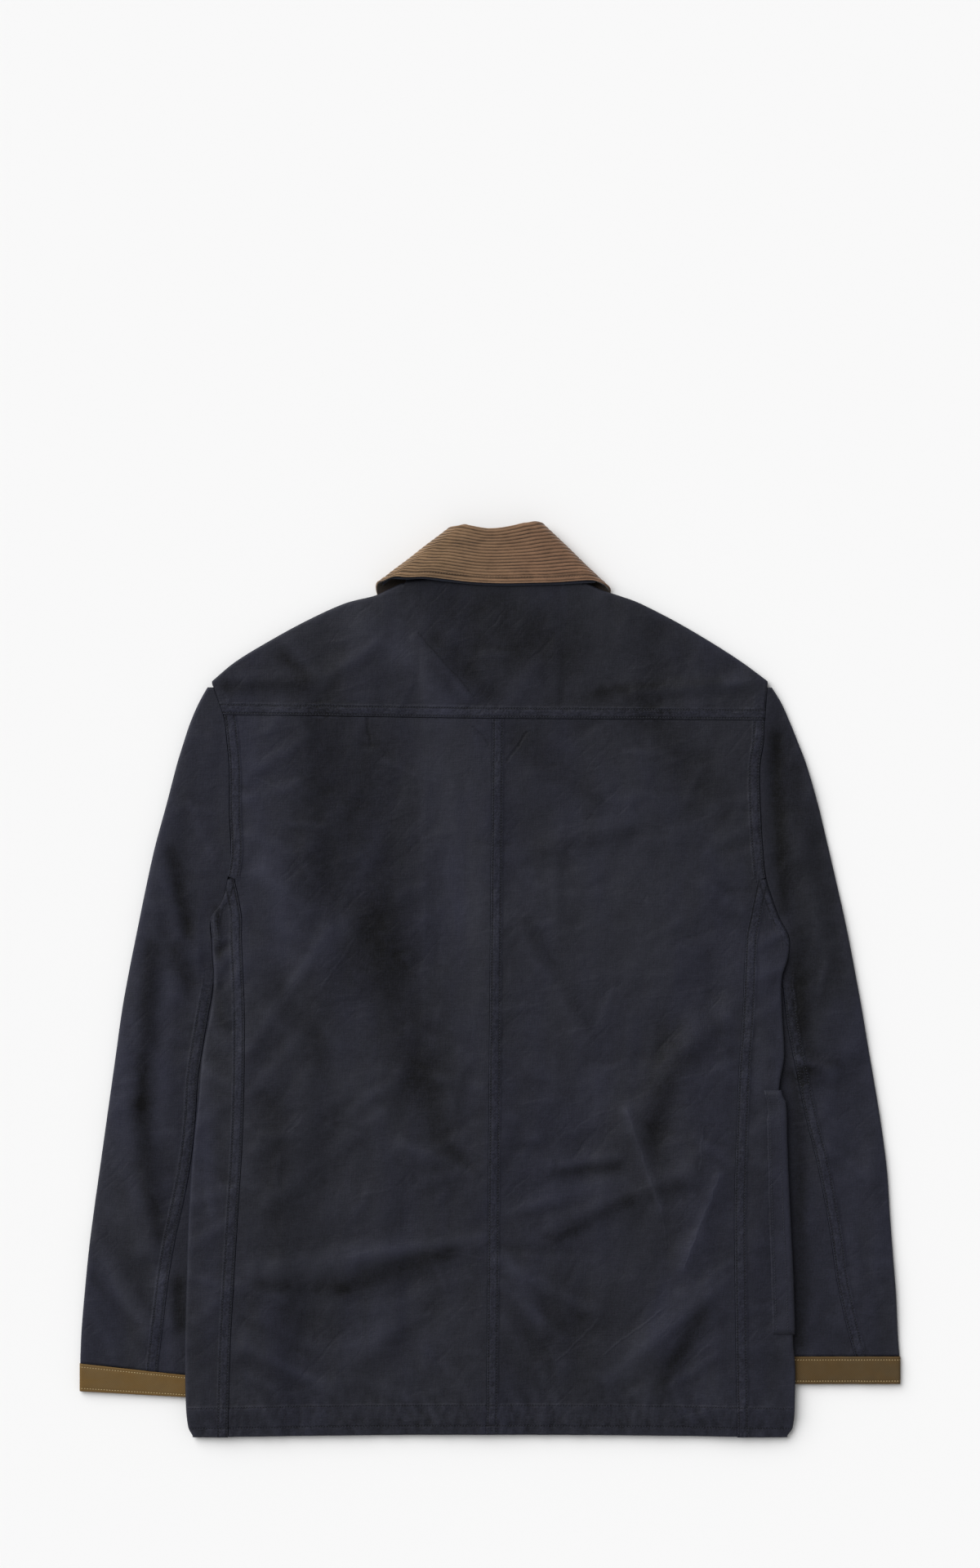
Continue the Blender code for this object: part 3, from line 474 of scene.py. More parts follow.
class Finish:
    """The material of one cloth or thread, on its own place in millimetres."""

    def __init__(self, name, sheen, specular):
        self.material = bpy.data.materials.new(name)
        self.material.use_nodes = True
        self.tree = self.material.node_tree
        self.shader = self.tree.nodes["Principled BSDF"]
        self.shader.inputs["Sheen Weight"].default_value = sheen
        self.shader.inputs["Sheen Roughness"].default_value = 0.5
        self.shader.inputs["Specular IOR Level"].default_value = specular
        place = self.node("ShaderNodeTexCoord", give="Object")
        self.place = self.lit(place, 1 / MM)
        sway = self.node(
            "ShaderNodeTexNoise", None, {"Vector": self.stretched(*[SWAY_SIZE] * 3), "Scale": 1.0}, give=1)
        self.swayed = self.node(
            "ShaderNodeVectorMath", {"operation": "MULTIPLY_ADD"},
            {0: self.vector("SUBTRACT", sway, (0.5, 0.5, 0.5)), 1: (SWAY_MOST, SWAY_MOST, 0.0),
             2: self.place})

    def node(self, kind, settings=None, sockets=None, give=0):
        """Adds a node, with its settings first, and returns one of its outputs."""
        made = self.tree.nodes.new(kind)
        for name, value in (settings or {}).items():
            setattr(made, name, value)
        for name, value in (sockets or {}).items():
            if isinstance(value, Quantity):
                self.tree.links.new(value.socket, made.inputs[name])
            else:
                made.inputs[name].default_value = value
        return Quantity(self, made.outputs[give])

    def math(self, operation, a, b):
        return self.node("ShaderNodeMath", {"operation": operation}, {0: a, 1: b})

    def vector(self, operation, a, b, give=0):
        return self.node("ShaderNodeVectorMath", {"operation": operation}, {0: a, 1: b}, give)

    def stretched(self, x, y, z):
        """The place, with each axis measured in lengths of x, y and z millimetres."""
        return self.vector("DIVIDE", self.place, (x, y, z))

    def cloud(self, x, y, z, detail=2.0, distortion=0.0):
        return self.node(
            "ShaderNodeTexNoise", None,
            {"Vector": self.stretched(x, y, z), "Scale": 1.0, "Detail": detail, "Distortion": distortion})

    def streaks(self, angle, length, width):
        """1 along short creases at an angle, of about this length and width, and 0 between them."""
        turned = self.node("ShaderNodeVectorRotate", {"rotation_type": "Z_AXIS"},
                           {"Vector": self.swayed, "Angle": math.radians(angle)})
        drawn = self.vector("DIVIDE", turned, (length, width, 40.0))
        crease = self.node("ShaderNodeTexNoise", None, {"Vector": drawn, "Scale": 1.0, "Detail": 1.5})
        return crease.above(0.50, 0.80)

    def rightward(self, start, end):
        """0 at the start's x, 1 at the end's."""
        return self.node("ShaderNodeSeparateXYZ", None, {"Vector": self.place}, give="X").above(start, end)

    def painted(self, name):
        return self.node("ShaderNodeAttribute", {"attribute_name": name}, give="Fac")

    def line(self, x0, y0, x1, y1, width):
        """1 on a crease line between two places, 0 at its width from it."""
        along = Vector((x1 - x0, y1 - y0, 0.0))
        flat = self.vector("MULTIPLY", self.swayed, (1.0, 1.0, 0.0))
        start = self.vector("SUBTRACT", flat, (x0, y0, 0.0))
        share = self.vector("DOT_PRODUCT", start, along / along.length_squared, "Value")
        foot = self.lit(tuple(along), self.node("ShaderNodeClamp", None, {"Value": share}))
        return self.vector("DISTANCE", start, foot, "Value").above(width, 0.0)

    def colour_mix(self, factor, a, b):
        return self.node("ShaderNodeMix", {"data_type": "RGBA"}, {0: factor, 6: a, 7: b}, give=2)

    def lit(self, colour, amount):
        """A colour or a place times a number."""
        return self.node("ShaderNodeVectorMath", {"operation": "SCALE"}, {0: colour, "Scale": amount})

    def apply(self, colour, roughness, relief, depth=1.0):
        """Sets what changes over the cloth; relief is in millimetres."""
        bump = self.node("ShaderNodeBump", None, {"Strength": depth, "Distance": MM, "Height": relief})
        for name, value in (("Base Color", colour), ("Roughness", roughness), ("Normal", bump)):
            self.tree.links.new(value.socket, self.shader.inputs[name])
        return self.material


# x, y of one end; x, y of the other; width: lines where a sharp crease has rubbed the wax away
RUBBED = (
    (121, -116, 150, -201, 2.0), (201, -174, 170, -254, 1.8), (150, -201, 156, -236, 1.6),
    (188, -130, 184, -168, 1.6), (-146, -6, -118, 38, 2.4), (-20, -148, 4, -160, 2.0),
    (-9, -246, -60, -238, 2.2), (60, -336, 96, -300, 1.8), (-206, 176, -182, 166, 2.0),
    (100, -330, 150, -292, 1.6),
)
# the same for folds that were pressed in, darkened along their lines as painted shade
SHADED_CREASES = (
    (-62, 305, -14, 249, 1.5), (-15, 222, -2, 207, 2.4), (34, 217, 15, 193, 2.2),
    (-108, 229, -104, 206, 3.0),
)


CHARCOAL, NAVY = (0.0122, 0.0127, 0.0178, 1.0), (0.0116, 0.0121, 0.0194, 1.0)
SEAM_NAVY = (0.0116, 0.0122, 0.0198, 1.0)


def make_waxed(name, lines=(), folds=()):
    """Waxed cotton: charcoal and navy patches, a dry bloom in streaks, and painted shade where the needle
    went through along the rows of stitches.
    """
    finish = Finish(name, 0.01, 0.15)
    patches = finish.cloud(120.0, 210.0, 60.0, detail=2.5, distortion=0.7)
    streaks = finish.cloud(30.0, 120.0, 40.0, detail=3.0, distortion=0.4)
    bloom = finish.cloud(24.0, 30.0, 30.0, detail=4.0, distortion=0.5)
    spots = finish.cloud(5.0, 5.0, 5.0, detail=2.0)
    fibre = finish.cloud(1.1, 1.3, 1.2, detail=2.0)
    grain = finish.cloud(2.6, 2.1, 2.4, detail=1.0)
    slub = finish.cloud(9.0, 0.9, 4.0, detail=1.0) + finish.cloud(0.9, 9.0, 4.0, detail=1.0)
    seam = finish.painted("band")
    # Past 0.55 the seam value paints shade: the rows of stitches and the strips tucked under the seams are
    # darkened.
    band, seam_shade = seam.above(0.0, 0.5), seam.above(0.55, 1.0)
    wear_and_shade = finish.painted("wear_and_shade")
    navy_share = (0.62 * patches + 0.38 * streaks).above(0.40, 0.62)
    cloth = finish.colour_mix(navy_share, CHARCOAL, NAVY)
    cloth = finish.colour_mix(0.5 * band, cloth, SEAM_NAVY)
    mottle = finish.cloud(1.8, 1.8, 1.8, detail=2.0)
    tone = 0.34 * bloom + 0.72 * fibre + 0.36 * slub + 0.24 * spots + 0.34 * grain
    tone = tone + band * (0.6 * mottle.above(0.34, 0.66) - 0.28)
    crumple = finish.streaks(-14.0, 58.0, 8.5) * finish.cloud(52.0, 44.0, 50.0).above(0.42, 0.64)
    crumple = crumple + finish.streaks(38.0, 46.0, 7.0) * finish.cloud(40.0, 58.0, 50.0).above(0.45, 0.66)
    crumple = crumple - finish.streaks(-47.0, 40.0, 6.0) * finish.cloud(64.0, 50.0, 40.0).above(0.45, 0.66)
    tone = tone + 0.05 * crumple
    roughness = 0.60 - 0.14 * bloom + 0.08 * fibre + 0.14 * seam_shade
    relief = 0.10 * fibre + 0.12 * slub + 0.60 * finish.cloud(11.0, 14.0, 12.0, detail=3.0)
    relief = relief + band * (0.35 * mottle) + 0.24 * crumple
    # Rubbed lines are paler with wear; pressed creases are darkened as painted shade.
    for table, paler, higher in ((lines, 0.16, 0.16), (folds, -0.26, -0.30)):
        for row in table:
            crease = finish.line(*row)
            tone, relief = tone + paler * crease, relief + higher * crease
    # The wear attribute brings in the painted light and shade of the folds, partly wax wear.
    tone = finish.math("MAXIMUM", tone + 0.66 * wear_and_shade, 0.12)
    return finish.apply(finish.lit(cloth, tone * (1.0 - 0.60 * seam_shade)), roughness, relief, 0.9)


waxed_cotton = make_waxed("waxed_cotton")
waxed_back = make_waxed("waxed_cotton_back", RUBBED, SHADED_CREASES)


# Painted light and shade: what stands proud of a smoothed copy of the cloth is made paler, as a highlight
# with some wear on the ridges, and what lies sunk is made darker, as shade in the hollows.
SMOOTHED = ((5, 0.6), (40, 0.7))         # rounds of smoothing, and how much what stands proud then pales
PROUD_MOST = 0.6


def make_piece(name, work, finish):
    """The object that a bmesh becomes, riding with the jacket."""
    mesh = bpy.data.meshes.new(name)
    work.to_mesh(mesh)
    work.free()
    mesh.materials.append(finish)
    mesh.shade_smooth()
    piece = bpy.data.objects.new(name, mesh)
    bpy.context.scene.collection.objects.link(piece)
    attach(piece, "root")
    return piece


def lay(name, patches, finish, up=True, wall=WALL, tucks=()):
    """A piece of cloth: grids of (columns, rows, place) that meet, with its wall on the inside."""
    cloth = bmesh.new()
    band = cloth.verts.layers.float.new("band")
    wear_and_shade = cloth.verts.layers.float.new("wear_and_shade")
    for grids in (patches, tucks):
        for columns, rows, place in grids:
            grid = bmesh.ops.create_grid(cloth, x_segments=columns, y_segments=rows, size=0.5)
            for vert in grid["verts"]:
                column, row = round((vert.co.x + 0.5) * columns), round((vert.co.y + 0.5) * rows)
                point, vert[band] = place(column, row)
                vert.co = Vector(point) * MM
        bmesh.ops.remove_doubles(cloth, verts=cloth.verts, dist=0.00001)
        bmesh.ops.recalc_face_normals(cloth, faces=cloth.faces)
        cloth.faces.ensure_lookup_table()
        if (cloth.faces[0].normal.z > 0) != up:
            bmesh.ops.reverse_faces(cloth, faces=cloth.faces)
        cloth.normal_update()
        if grids is tucks:
            break
        # Painted light and shade, partly wear, go into the tone here: first from how far the cloth stands
        # proud, then from the table of patches.
        for rounds, share in SMOOTHED:
            level_cloth = cloth.copy()
            for _ in range(rounds):
                bmesh.ops.smooth_vert(level_cloth, verts=level_cloth.verts, factor=0.5,
                                      use_axis_x=True, use_axis_y=True, use_axis_z=True)
            for vert, level_vert in zip(cloth.verts, level_cloth.verts):
                proud = (vert.co - level_vert.co).dot(vert.normal) / MM
                vert[wear_and_shade] += share * max(-PROUD_MOST, min(PROUD_MOST, proud))
            level_cloth.free()
        for vert in cloth.verts:
            vert[wear_and_shade] += creases(WEAR_AND_SHADE_PATCHES, vert.co.x / MM, vert.co.y / MM)
    piece = make_piece(name, cloth, finish)
    piece.data.set_sharp_from_angle(angle=math.radians(50))
    shell = piece.modifiers.new("Wall", "SOLIDIFY")
    shell.thickness = wall * MM
    shell.offset = -1.0
    return piece


def tuck(place, edge_index, out_x, out_y):
    """A narrow strip that goes down from an edge of a piece and lies under the next piece's seam."""
    def strip(n, k):
        (x, y, z), _ = place(*edge_index(k))
        out, down = ((0.0, 0.0), (0.08, 1.15), (1.7, 1.25))[n]
        # The strip is given the darkest seam value, so that where it shows in the seam's gap it is painted
        # as shade.
        return (x + out * out_x, y + out * out_y, z - down), 1.0 if n else place(*edge_index(k))[1]
    return strip


STITCH = 2.45                    # from one stitch to the next
STITCH_LENGTH = 1.7
STITCH_WIDTH = 0.8
STITCH_SUNK = 0.08


def make_thread(name, light, dark):
    finish = Finish(name, 0.1, 0.3)
    twist = finish.cloud(0.5, 0.5, 0.5)
    colour = finish.colour_mix(twist, dark, light)
    return finish.apply(colour, 0.7 + 0.1 * twist, 0.1 * twist)


navy_thread = make_thread("navy_thread", (0.016, 0.018, 0.030, 1.0), (0.009, 0.010, 0.017, 1.0))


def sew(name, lines, thread):
    """Rows of stitches, each along a line of points on the cloth's outer face."""
    seam = bmesh.new()
    for points in lines:
        carried = STITCH / 2
        for start, end in zip(points, points[1:]):
            step = Vector(end) - Vector(start)
            while carried < step.length:
                middle = (Vector(start) + step * (carried / step.length)) * MM
                turn = step.to_track_quat("X", "Z").to_matrix().to_4x4()
                size = Matrix.Diagonal((STITCH_LENGTH * MM, STITCH_WIDTH * MM, STITCH_WIDTH * MM, 1.0))
                sink = Matrix.Translation((0.0, 0.0, -STITCH_SUNK * MM))
                lie_of = Matrix.Translation(middle) @ sink @ turn @ size
                bmesh.ops.create_icosphere(seam, subdivisions=1, radius=0.5, matrix=lie_of)
                carried += STITCH
            carried -= step.length
    make_piece(name, seam, thread)


def run(face, place, start, end, pitch=2.0):
    """Points on a face along a line, whose x and y place gives for each distance from start to end."""
    count = max(2, round(abs(end - start) / pitch))
    found = []
    for n in range(count + 1):
        x, y = place(mix(start, end, n / count))
        found.append((x, y, face(x, y)[0]))
    return found


def runs(offsets, face, place, start, end):
    """A run for each row of stitches, whose place also takes the row's offset."""
    return [run(face, lambda at: place(at, offset), start, end) for offset in offsets]


def above_hem(x, up):
    return x, hem(x) + up


for name, side in (("back_left", 1), ("back_right", 2)):
    toward = OUTWARD[side]
    across = marks(BACK_WIDTH, PITCH, (FELL_STRIP, ARM_STRIP) if side == 2 else (ARM_STRIP,))
    upward = marks(BACK_LENGTH, PITCH, (HEM_STRIP,))

    def back_place(i, j):
        share = upward[j] / upward[-1]
        y = mix(hem(toward * BACK_MIDDLE), yoke_seam(toward * BACK_MIDDLE) - SEAM, share)
        inner, outer = centre_seam(y) + toward * SEAM / 2, back_seam(y, side) - toward * SEAM / 2
        x = mix(inner, outer, across[i] / across[-1])
        y = mix(hem(x), yoke_seam(x) - SEAM, share)
        height, dark = back_face(x, y, side)
        return (x, y, height), dark

    columns, rows = len(across) - 1, len(upward) - 1
    below_side = max(j for j in range(rows) if back_place(columns, j)[0][1] < SIDE_TOP)
    tucks = [(2, columns, tuck(back_place, lambda k: (k, rows), 0, 1)),
             (2, below_side, tuck(back_place, lambda k: (columns, k), toward, 0))]
    if side == 1:
        tucks.append((2, rows, tuck(back_place, lambda k: (0, k), 1, 0)))
    back = lay(name + "_cloth", [(columns, rows, back_place)], waxed_back, tucks=tucks)
    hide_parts(name)

    def face(x, y):
        return back_face(x, y, side)

    seams = runs(HEM_ROWS, face, above_hem, toward * 4, back_seam(HEM_LEVEL, side) - toward * 2)
    seams += runs(FELL_ROWS, face, lambda y, d: (edge(y, side) - toward * d, y),
                  SIDE_TOP + 4, YOKE_Y[1] - 2)
    if side == 2:
        seams += runs(FELL_ROWS, face, lambda y, d: (centre_seam(y) + d, y), HEM_Y + 3, YOKE_Y[1] - 1)
    sew(name + "_stitches", seams, navy_thread)


# ---- Side bodies ---------------------------------------------------------------------------------
# One piece a side, from the side-back seam round the pressed side fold to the front. Its back edge lies
# on top of the seam, felled with two rows, and it is creased where the arm has pulled at it.
SIDE_TURN = 54.0                 # width of a side body on the front
SIDE_WIDTHS, SIDE_LENGTH, SIDE_MIDDLE = (40, 52), 490, 250
POCKET_Y = (-311.8, -97.3)       # bottom and top of a patch pocket
# x, y of one end; x, y of the other; width; height
SIDE_CREASES = (
    (-246, 58, -236, 34, 5, 0.9), (-246, 20, -232, 30, 4, -0.8), (-240, -8, -230, -36, 5, 1.0),
    (-236, -6, -228, 12, 4, -0.8), (-246, -40, -232, -62, 6, 0.8), (-252, -80, -226, -96, 6, 0.7),
    (-258, -130, -232, -108, 7, 0.8), (-262, -160, -228, -176, 5, -0.8), (-262, -196, -230, -186, 6, 0.7),
    (-264, -236, -232, -214, 6, 0.8), (-264, -262, -230, -270, 5, 0.6), (-258, -300, -232, -274, 7, 0.8),
    (-262, -330, -234, -312, 6, -0.6), (256, 40, 238, 30, 5, 0.8), (262, 12, 236, 2, 6, 0.7),
    (254, -20, 230, -36, 6, 0.6), (254, -70, 232, -56, 7, 0.6), (258, -120, 232, -132, 7, 0.6),
    (260, -176, 236, -160, 6, 0.6), (262, -240, 232, -226, 8, 0.6), (262, -300, 234, -322, 7, 0.5),
)


def around(s, x_start, x_fold, x_end, half=FOLD):
    """x, and level from 1 on top to -1 below, at s: to 1 over the top, to 2 round the fold, to 3 below."""
    toward = 1 if x_fold > x_start else -1
    centre = x_fold - toward * half
    if s <= 1:
        return mix(x_start, centre, s), 1.0
    if s < 2:
        angle = math.pi * (s - 1)
        return centre + toward * half * math.sin(angle), math.cos(angle)
    return mix(centre, x_end, s - 2), -1.0


def level(top, bottom, weight):
    return (top + bottom) / 2 + weight * (top - bottom) / 2


def turns(top, bottom, fine=(), below=6.0):
    """Values of s for a piece whose top and bottom are this wide."""
    over = [mark / top for mark in marks(top, PITCH, fine)]
    fold = [1 + n / 8 for n in range(1, 8)]
    return over + fold + [2 + mark / bottom for mark in marks(bottom, below)]


def tucked_in(y, side):
    """A side fold stands back where a patch pocket is wrapped round it."""
    return POCKET_LIFT * smooth(y, -346, -316) * smooth(y, -67, -96) if side == 2 else 0.0


def front_seam(y, side):
    toward = OUTWARD[side]
    seam = edge(y, side) - toward * SIDE_TURN
    return mix(back_seam(y, side), seam, smooth(y, SIDE_TOP - 14, 20))


def side_face(x, y, side):
    """Height and darkness of a side body's outer face on the back."""
    toward = OUTWARD[side]
    up, dark = hem_turn(y - hem(x), x)
    rise, band = fell(toward * (x - back_seam(y, side)), y)
    if y > 20:
        turn, arm = fell(toward * (edge(y, side) - x) * 1.3, y)
        rise, band = max(rise, turn * smooth(y, 20, 40)), max(band, arm * smooth(y, 20, 40))
    folds = max(-0.5, creases(SIDE_CREASES, x, y))
    return lie(x, y) + up + rise + folds, max(dark, band)


def side_point(s, y, side, out=0.0):
    toward = OUTWARD[side]
    fold = edge(y, side) - toward * tucked_in(y, side)
    start = back_seam(y, side) + toward * SEAM / 2
    x, weight = around(s, start, fold, front_seam(y, side) + toward * SEAM / 2)
    top, dark = side_face(x, y, side)
    z = level(top + out, low(x, y) - out, weight)
    return (x + toward * out * math.sqrt(max(0.0, 1.0 - weight * weight)), y, z), dark * max(0.0, weight)


for name, side in (("side_left", 1), ("side_right", 2)):
    toward = OUTWARD[side]
    stations = turns(*SIDE_WIDTHS, (FELL_STRIP,))
    upward = marks(SIDE_LENGTH, PITCH, (HEM_STRIP,))

    def side_place(i, j):
        y = mix(hem(toward * SIDE_MIDDLE), SIDE_TOP, upward[j] / upward[-1])
        return side_point(stations[i], y, side)

    columns, rows = len(stations) - 1, len(upward) - 1
    above = sum(s <= 1 for s in stations) - 1
    piece = lay(name + "_cloth", [(columns, rows, side_place)], waxed_cotton,
                tucks=[(2, above, tuck(side_place, lambda k: (k, rows), 0, 1))])
    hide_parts(name)

    def face(x, y):
        return side_face(x, y, side)

    seams = runs(HEM_ROWS, face, above_hem, back_seam(HEM_LEVEL, side) + toward * 2,
                 edge(HEM_LEVEL, side) - toward * FOLD)
    for d in FELL_ROWS:
        seams += runs((d,), face, lambda y, d: (back_seam(y, side) + toward * d, y), HEM_Y + 3, 30 + 4 * d)
    sew(name + "_stitches", seams, navy_thread)


# ---- Fronts --------------------------------------------------------------------------------------
# The fronts lie under everything, face down and flat on the table, the right one lapped over the left.
# Their hem and front edges are turned and sewn once.
YOKE_TURN = 32.8                 # width of the yoke on the front of each shoulder
LAP = 15.0                       # each front passes the centre by this much
FRONT_LENGTH, FRONT_MIDDLE = 640, 220
FRONT_ROWS = (3.0, 22.0)         # the rows of stitches along a front's edge, from it
TOP_PARTS = 5                    # columns of the mesh from one top end of a front to the next
FRONT_PITCH = 5.0
# x at the shoulder, y at the shoulder or neck seam, x at the yoke seam
YOKE = (
    (-244.8, 262.6, -234.7), (-223.9, 279.9, -217.0), (-194.4, 297.9, -190.0), (-161.3, 315.9, -160.0),
    (-128.9, 330.6, -129.0), (-102.2, 337.5, -103.0), (-90.0, 343.0, -91.0), (-75.6, 349.4, -77.0),
    (-57.6, 352.6, -58.0), (-29.0, 354.2, -29.0), (0.0, 354.7, 2.0), (32.0, 354.4, 33.0),
    (62.0, 353.8, 62.0), (80.6, 350.6, 80.6), (97.2, 343.2, 97.0), (115.2, 337.2, 115.0),
    (132.5, 330.8, 132.0), (162.0, 315.9, 160.0), (193.0, 297.9, 188.0), (221.0, 279.9, 216.0),
    (244.4, 262.6, 242.0),
)
YOKE_NECK = (7, 13)              # the rows between which the yoke ends at the neck seam
FRONT_NECK = ((58, 303), (30, 293), (0, 290))


def armhole(y, side):
    """x of the armhole seam; along the yoke it is straight."""
    shoulder_x, shoulder_y, seam_x = YOKE[0] if side == 1 else YOKE[-1]
    seam_y = YOKE_Y[0] if side == 1 else YOKE_Y[2]
    if y <= seam_y:
        return edge(y, side)
    return mix(seam_x, shoulder_x, min(1.0, (y - seam_y) / (shoulder_y - FOLD - seam_y)))


def front_x(x, y):
    """Moves a point of the front's shoulder so that the piece ends along the armhole."""
    side = side_of(x)
    end = YOKE[0][0] if side == 1 else YOKE[-1][0]
    near = max(0.0, 1.0 - abs(x - end) / 70)
    shoulder_y = YOKE[0][1] if side == 1 else YOKE[-1][1]
    down = shoulder_y - FOLD - (rail(YOKE, x, 1) - FOLD - y)
    return x + near * (armhole(down, side) - end)


def front_columns(side):
    """x and y of the top ends of a front: the shoulder, then the neck seam and the lap."""
    toward = OUTWARD[side]
    count = YOKE_NECK[0] + 1
    rows = YOKE[:count] if side == 1 else YOKE[:-count - 1:-1]
    tops = [(front_x(x, y - FOLD - YOKE_TURN), y - FOLD - YOKE_TURN - SEAM) for x, y, _ in rows]
    tops += [(toward * x, y - SEAM) for x, y in FRONT_NECK]
    return tops + [(-toward * LAP, tops[-1][1] + 0.6)]


def lap_lift(x, side):
    """The right front is lifted where it laps over the left one."""
    return POCKET_LIFT * smooth(x, 56, 30) if side == 2 else 0.0


def front_point(s, v, side):
    """A point of a front: s counts its top ends, v goes from the hem to the top."""
    toward = OUTWARD[side]
    tops = front_columns(side)
    i = min(len(tops) - 2, int(s))
    x_top = mix(tops[i][0], tops[i + 1][0], s - i)
    y_top = mix(tops[i][1], tops[i + 1][1], s - i)
    u = (x_top - tops[0][0]) / (tops[-1][0] - tops[0][0])
    y = mix(hem(toward * FRONT_MIDDLE), tops[0][1], v)
    x = mix(front_seam(y, side) - toward * SEAM / 2, tops[-1][0], u)
    y = mix(hem(x), y_top, v)
    return (x, y, low(x, y) + lap_lift(x, side)), 0.0


for name, side in (("front_left", 1), ("front_right", 2)):
    toward = OUTWARD[side]
    columns = (len(front_columns(side)) - 1) * TOP_PARTS
    rows = round(FRONT_LENGTH / FRONT_PITCH)
    piece = lay(name + "_cloth", [(columns, rows, lambda i, j: front_point(i / TOP_PARTS, j / rows, side))],
                waxed_cotton, up=False)
    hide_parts(name)

    def below(x, y):
        return (low(x, y) + lap_lift(x, side) + 2 * STITCH_SUNK + 0.3,)

    seams = runs(HEM_ROWS, below, above_hem, front_seam(HEM_LEVEL, side), -toward * 9)
    seams += runs(FRONT_ROWS, below, lambda y, d: (-toward * (LAP - d), y), HEM_Y + 8, 280)
    sew(name + "_stitches", seams, navy_thread)


# ---- Patch pockets -------------------------------------------------------------------------------
# Two large patches sewn on the fronts with a double row. The right one reaches round the side fold,
# where its back edge shows and has frayed a little.
POCKET_SIDE = (2 / 3, 2.0)       # where the right and the left patch start on the side body
POCKET_EDGE = 0.85               # the right one is pressed down by this much on the back
POCKET_RIM = 0.25                # and its back edge by this much more
POCKET_CLOTH = 0.6


def pocket_point(s, y, side):
    """s goes to 3 over the side body, as it does there, and then counts the front's top ends."""
    if s <= 3:
        return side_point(s, y, side, POCKET_LIFT)
    toward = OUTWARD[side]
    tops = front_columns(side)
    i = min(len(tops) - 2, int(s - 3))
    u = (mix(tops[i][0], tops[i + 1][0], s - 3 - i) - tops[0][0]) / (tops[-1][0] - tops[0][0])
    x = mix(front_seam(y, side) - toward * SEAM / 2, tops[-1][0], u)
    return (x, y, low(x, y) - POCKET_LIFT), 0.0


for name, side, first in (("pocket_right", 2, POCKET_SIDE[0]), ("pocket_left", 1, POCKET_SIDE[1])):
    stations = [s for s in turns(*SIDE_WIDTHS) if s > first + 0.01 and s <= 2.9]
    stations = [first] + stations + [3 + 0.2 * n for n in range(1, 21)]
    rows = round((POCKET_Y[1] - POCKET_Y[0]) / FRONT_PITCH)

    def pocket_place(i, j):
        y = mix(POCKET_Y[0], POCKET_Y[1], j / rows)
        (x, y, z), _ = pocket_point(stations[i], y, side)
        fray = 0.0
        if i == 0 and side == 2:
            fray = 0.9 * ripple(y / 3.1, 0.0, 4.4) + 0.5 * ripple(y / 11.0, 2.0, 1.0)
        rim = smooth(stations[i], first + 0.2, first)
        settled = POCKET_EDGE * smooth(stations[i], 1.4, 1.0) + POCKET_RIM * rim
        settled *= 1.0 + 0.2 * smooth(y, -140, -200)
        return (x + fray, y, z - settled * (side == 2)), 0.3 * rim

    piece = lay(name + "_cloth", [(len(stations) - 1, rows, pocket_place)], waxed_cotton,
                up=side == 2, wall=POCKET_CLOTH)
    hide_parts(name)
    if side == 2:
        def sewn(s):
            down = POCKET_EDGE + POCKET_RIM * smooth(s, first + 0.2, first)
            points = [pocket_point(s, y, side)[0] for y in range(-309, -98, 2)]
            return [(x, y, z - down) for x, y, z in points]
        sew("pocket_right_stitches", [sewn(first + 0.07), sewn(first + 0.28)], navy_thread)


# ---- Yoke ----------------------------------------------------------------------------------------
# One piece across both shoulders, from armhole to armhole, turned over each shoulder to the front. Its
# lower edge lies on the backs, felled with two rows, and it is open between the shoulders for the neck.


def yoke_face(x, y):
    """Height and darkness of the yoke's outer face."""
    side = side_of(x)
    toward = OUTWARD[side]
    rise, band = fell(y - yoke_seam(x), x)
    turn, arm = fell(toward * (armhole(y, side) - x), y)
    arm *= smooth(y, 262, 240)
    return lie(x, y) + max(rise, 0.4 * turn), max(band, 0.6 * arm)


def yoke_column(s):
    i = min(len(YOKE) - 2, int(s))
    return (rail([(n, *row) for n, row in enumerate(YOKE)], s, column) if 0 < s < len(YOKE) - 1
            else YOKE[round(s)][column - 1] for column in (1, 2, 3))


YOKE_ROW = 24.4                  # one row of the table to the next, on average
YOKE_WIDTH, YOKE_HEIGHT = 488, 110
NECK_MIDDLE, NECK_HALF = 10, 3   # rows of the table
columns = [mark / YOKE_ROW for mark in marks(YOKE_WIDTH, PITCH)]
upward = marks(YOKE_HEIGHT, PITCH, (FELL_STRIP,))
FOLD_ROWS, TURN_ROWS = 8, 7


def yoke_back(i, j):
    s = columns[i]
    x_top, y_top, x_seam = yoke_column(s)
    in_fold = smooth(abs(s - NECK_MIDDLE), NECK_HALF - 0.1, NECK_HALF + 0.1)
    share = upward[j] / upward[-1]
    x = mix(x_seam, x_top, share)
    y = mix(yoke_seam(x_seam), y_top - FOLD * in_fold, share)
    height, dark = yoke_face(x, y)
    return (x, y, height), dark


def yoke_turn(first):
    def place(i, j):
        x, y_top, _ = yoke_column(columns[first + i])
        centre = y_top - FOLD
        top, bottom = yoke_face(x, centre)[0], low(x, centre)
        if j <= FOLD_ROWS:
            angle = math.pi * j / FOLD_ROWS
            return (x, centre + FOLD * math.sin(angle), level(top, bottom, math.cos(angle))), 0.0
        y = centre - YOKE_TURN * (j - FOLD_ROWS) / TURN_ROWS
        x = front_x(x, y)
        return (x, y, low(x, y)), 0.0
    return place


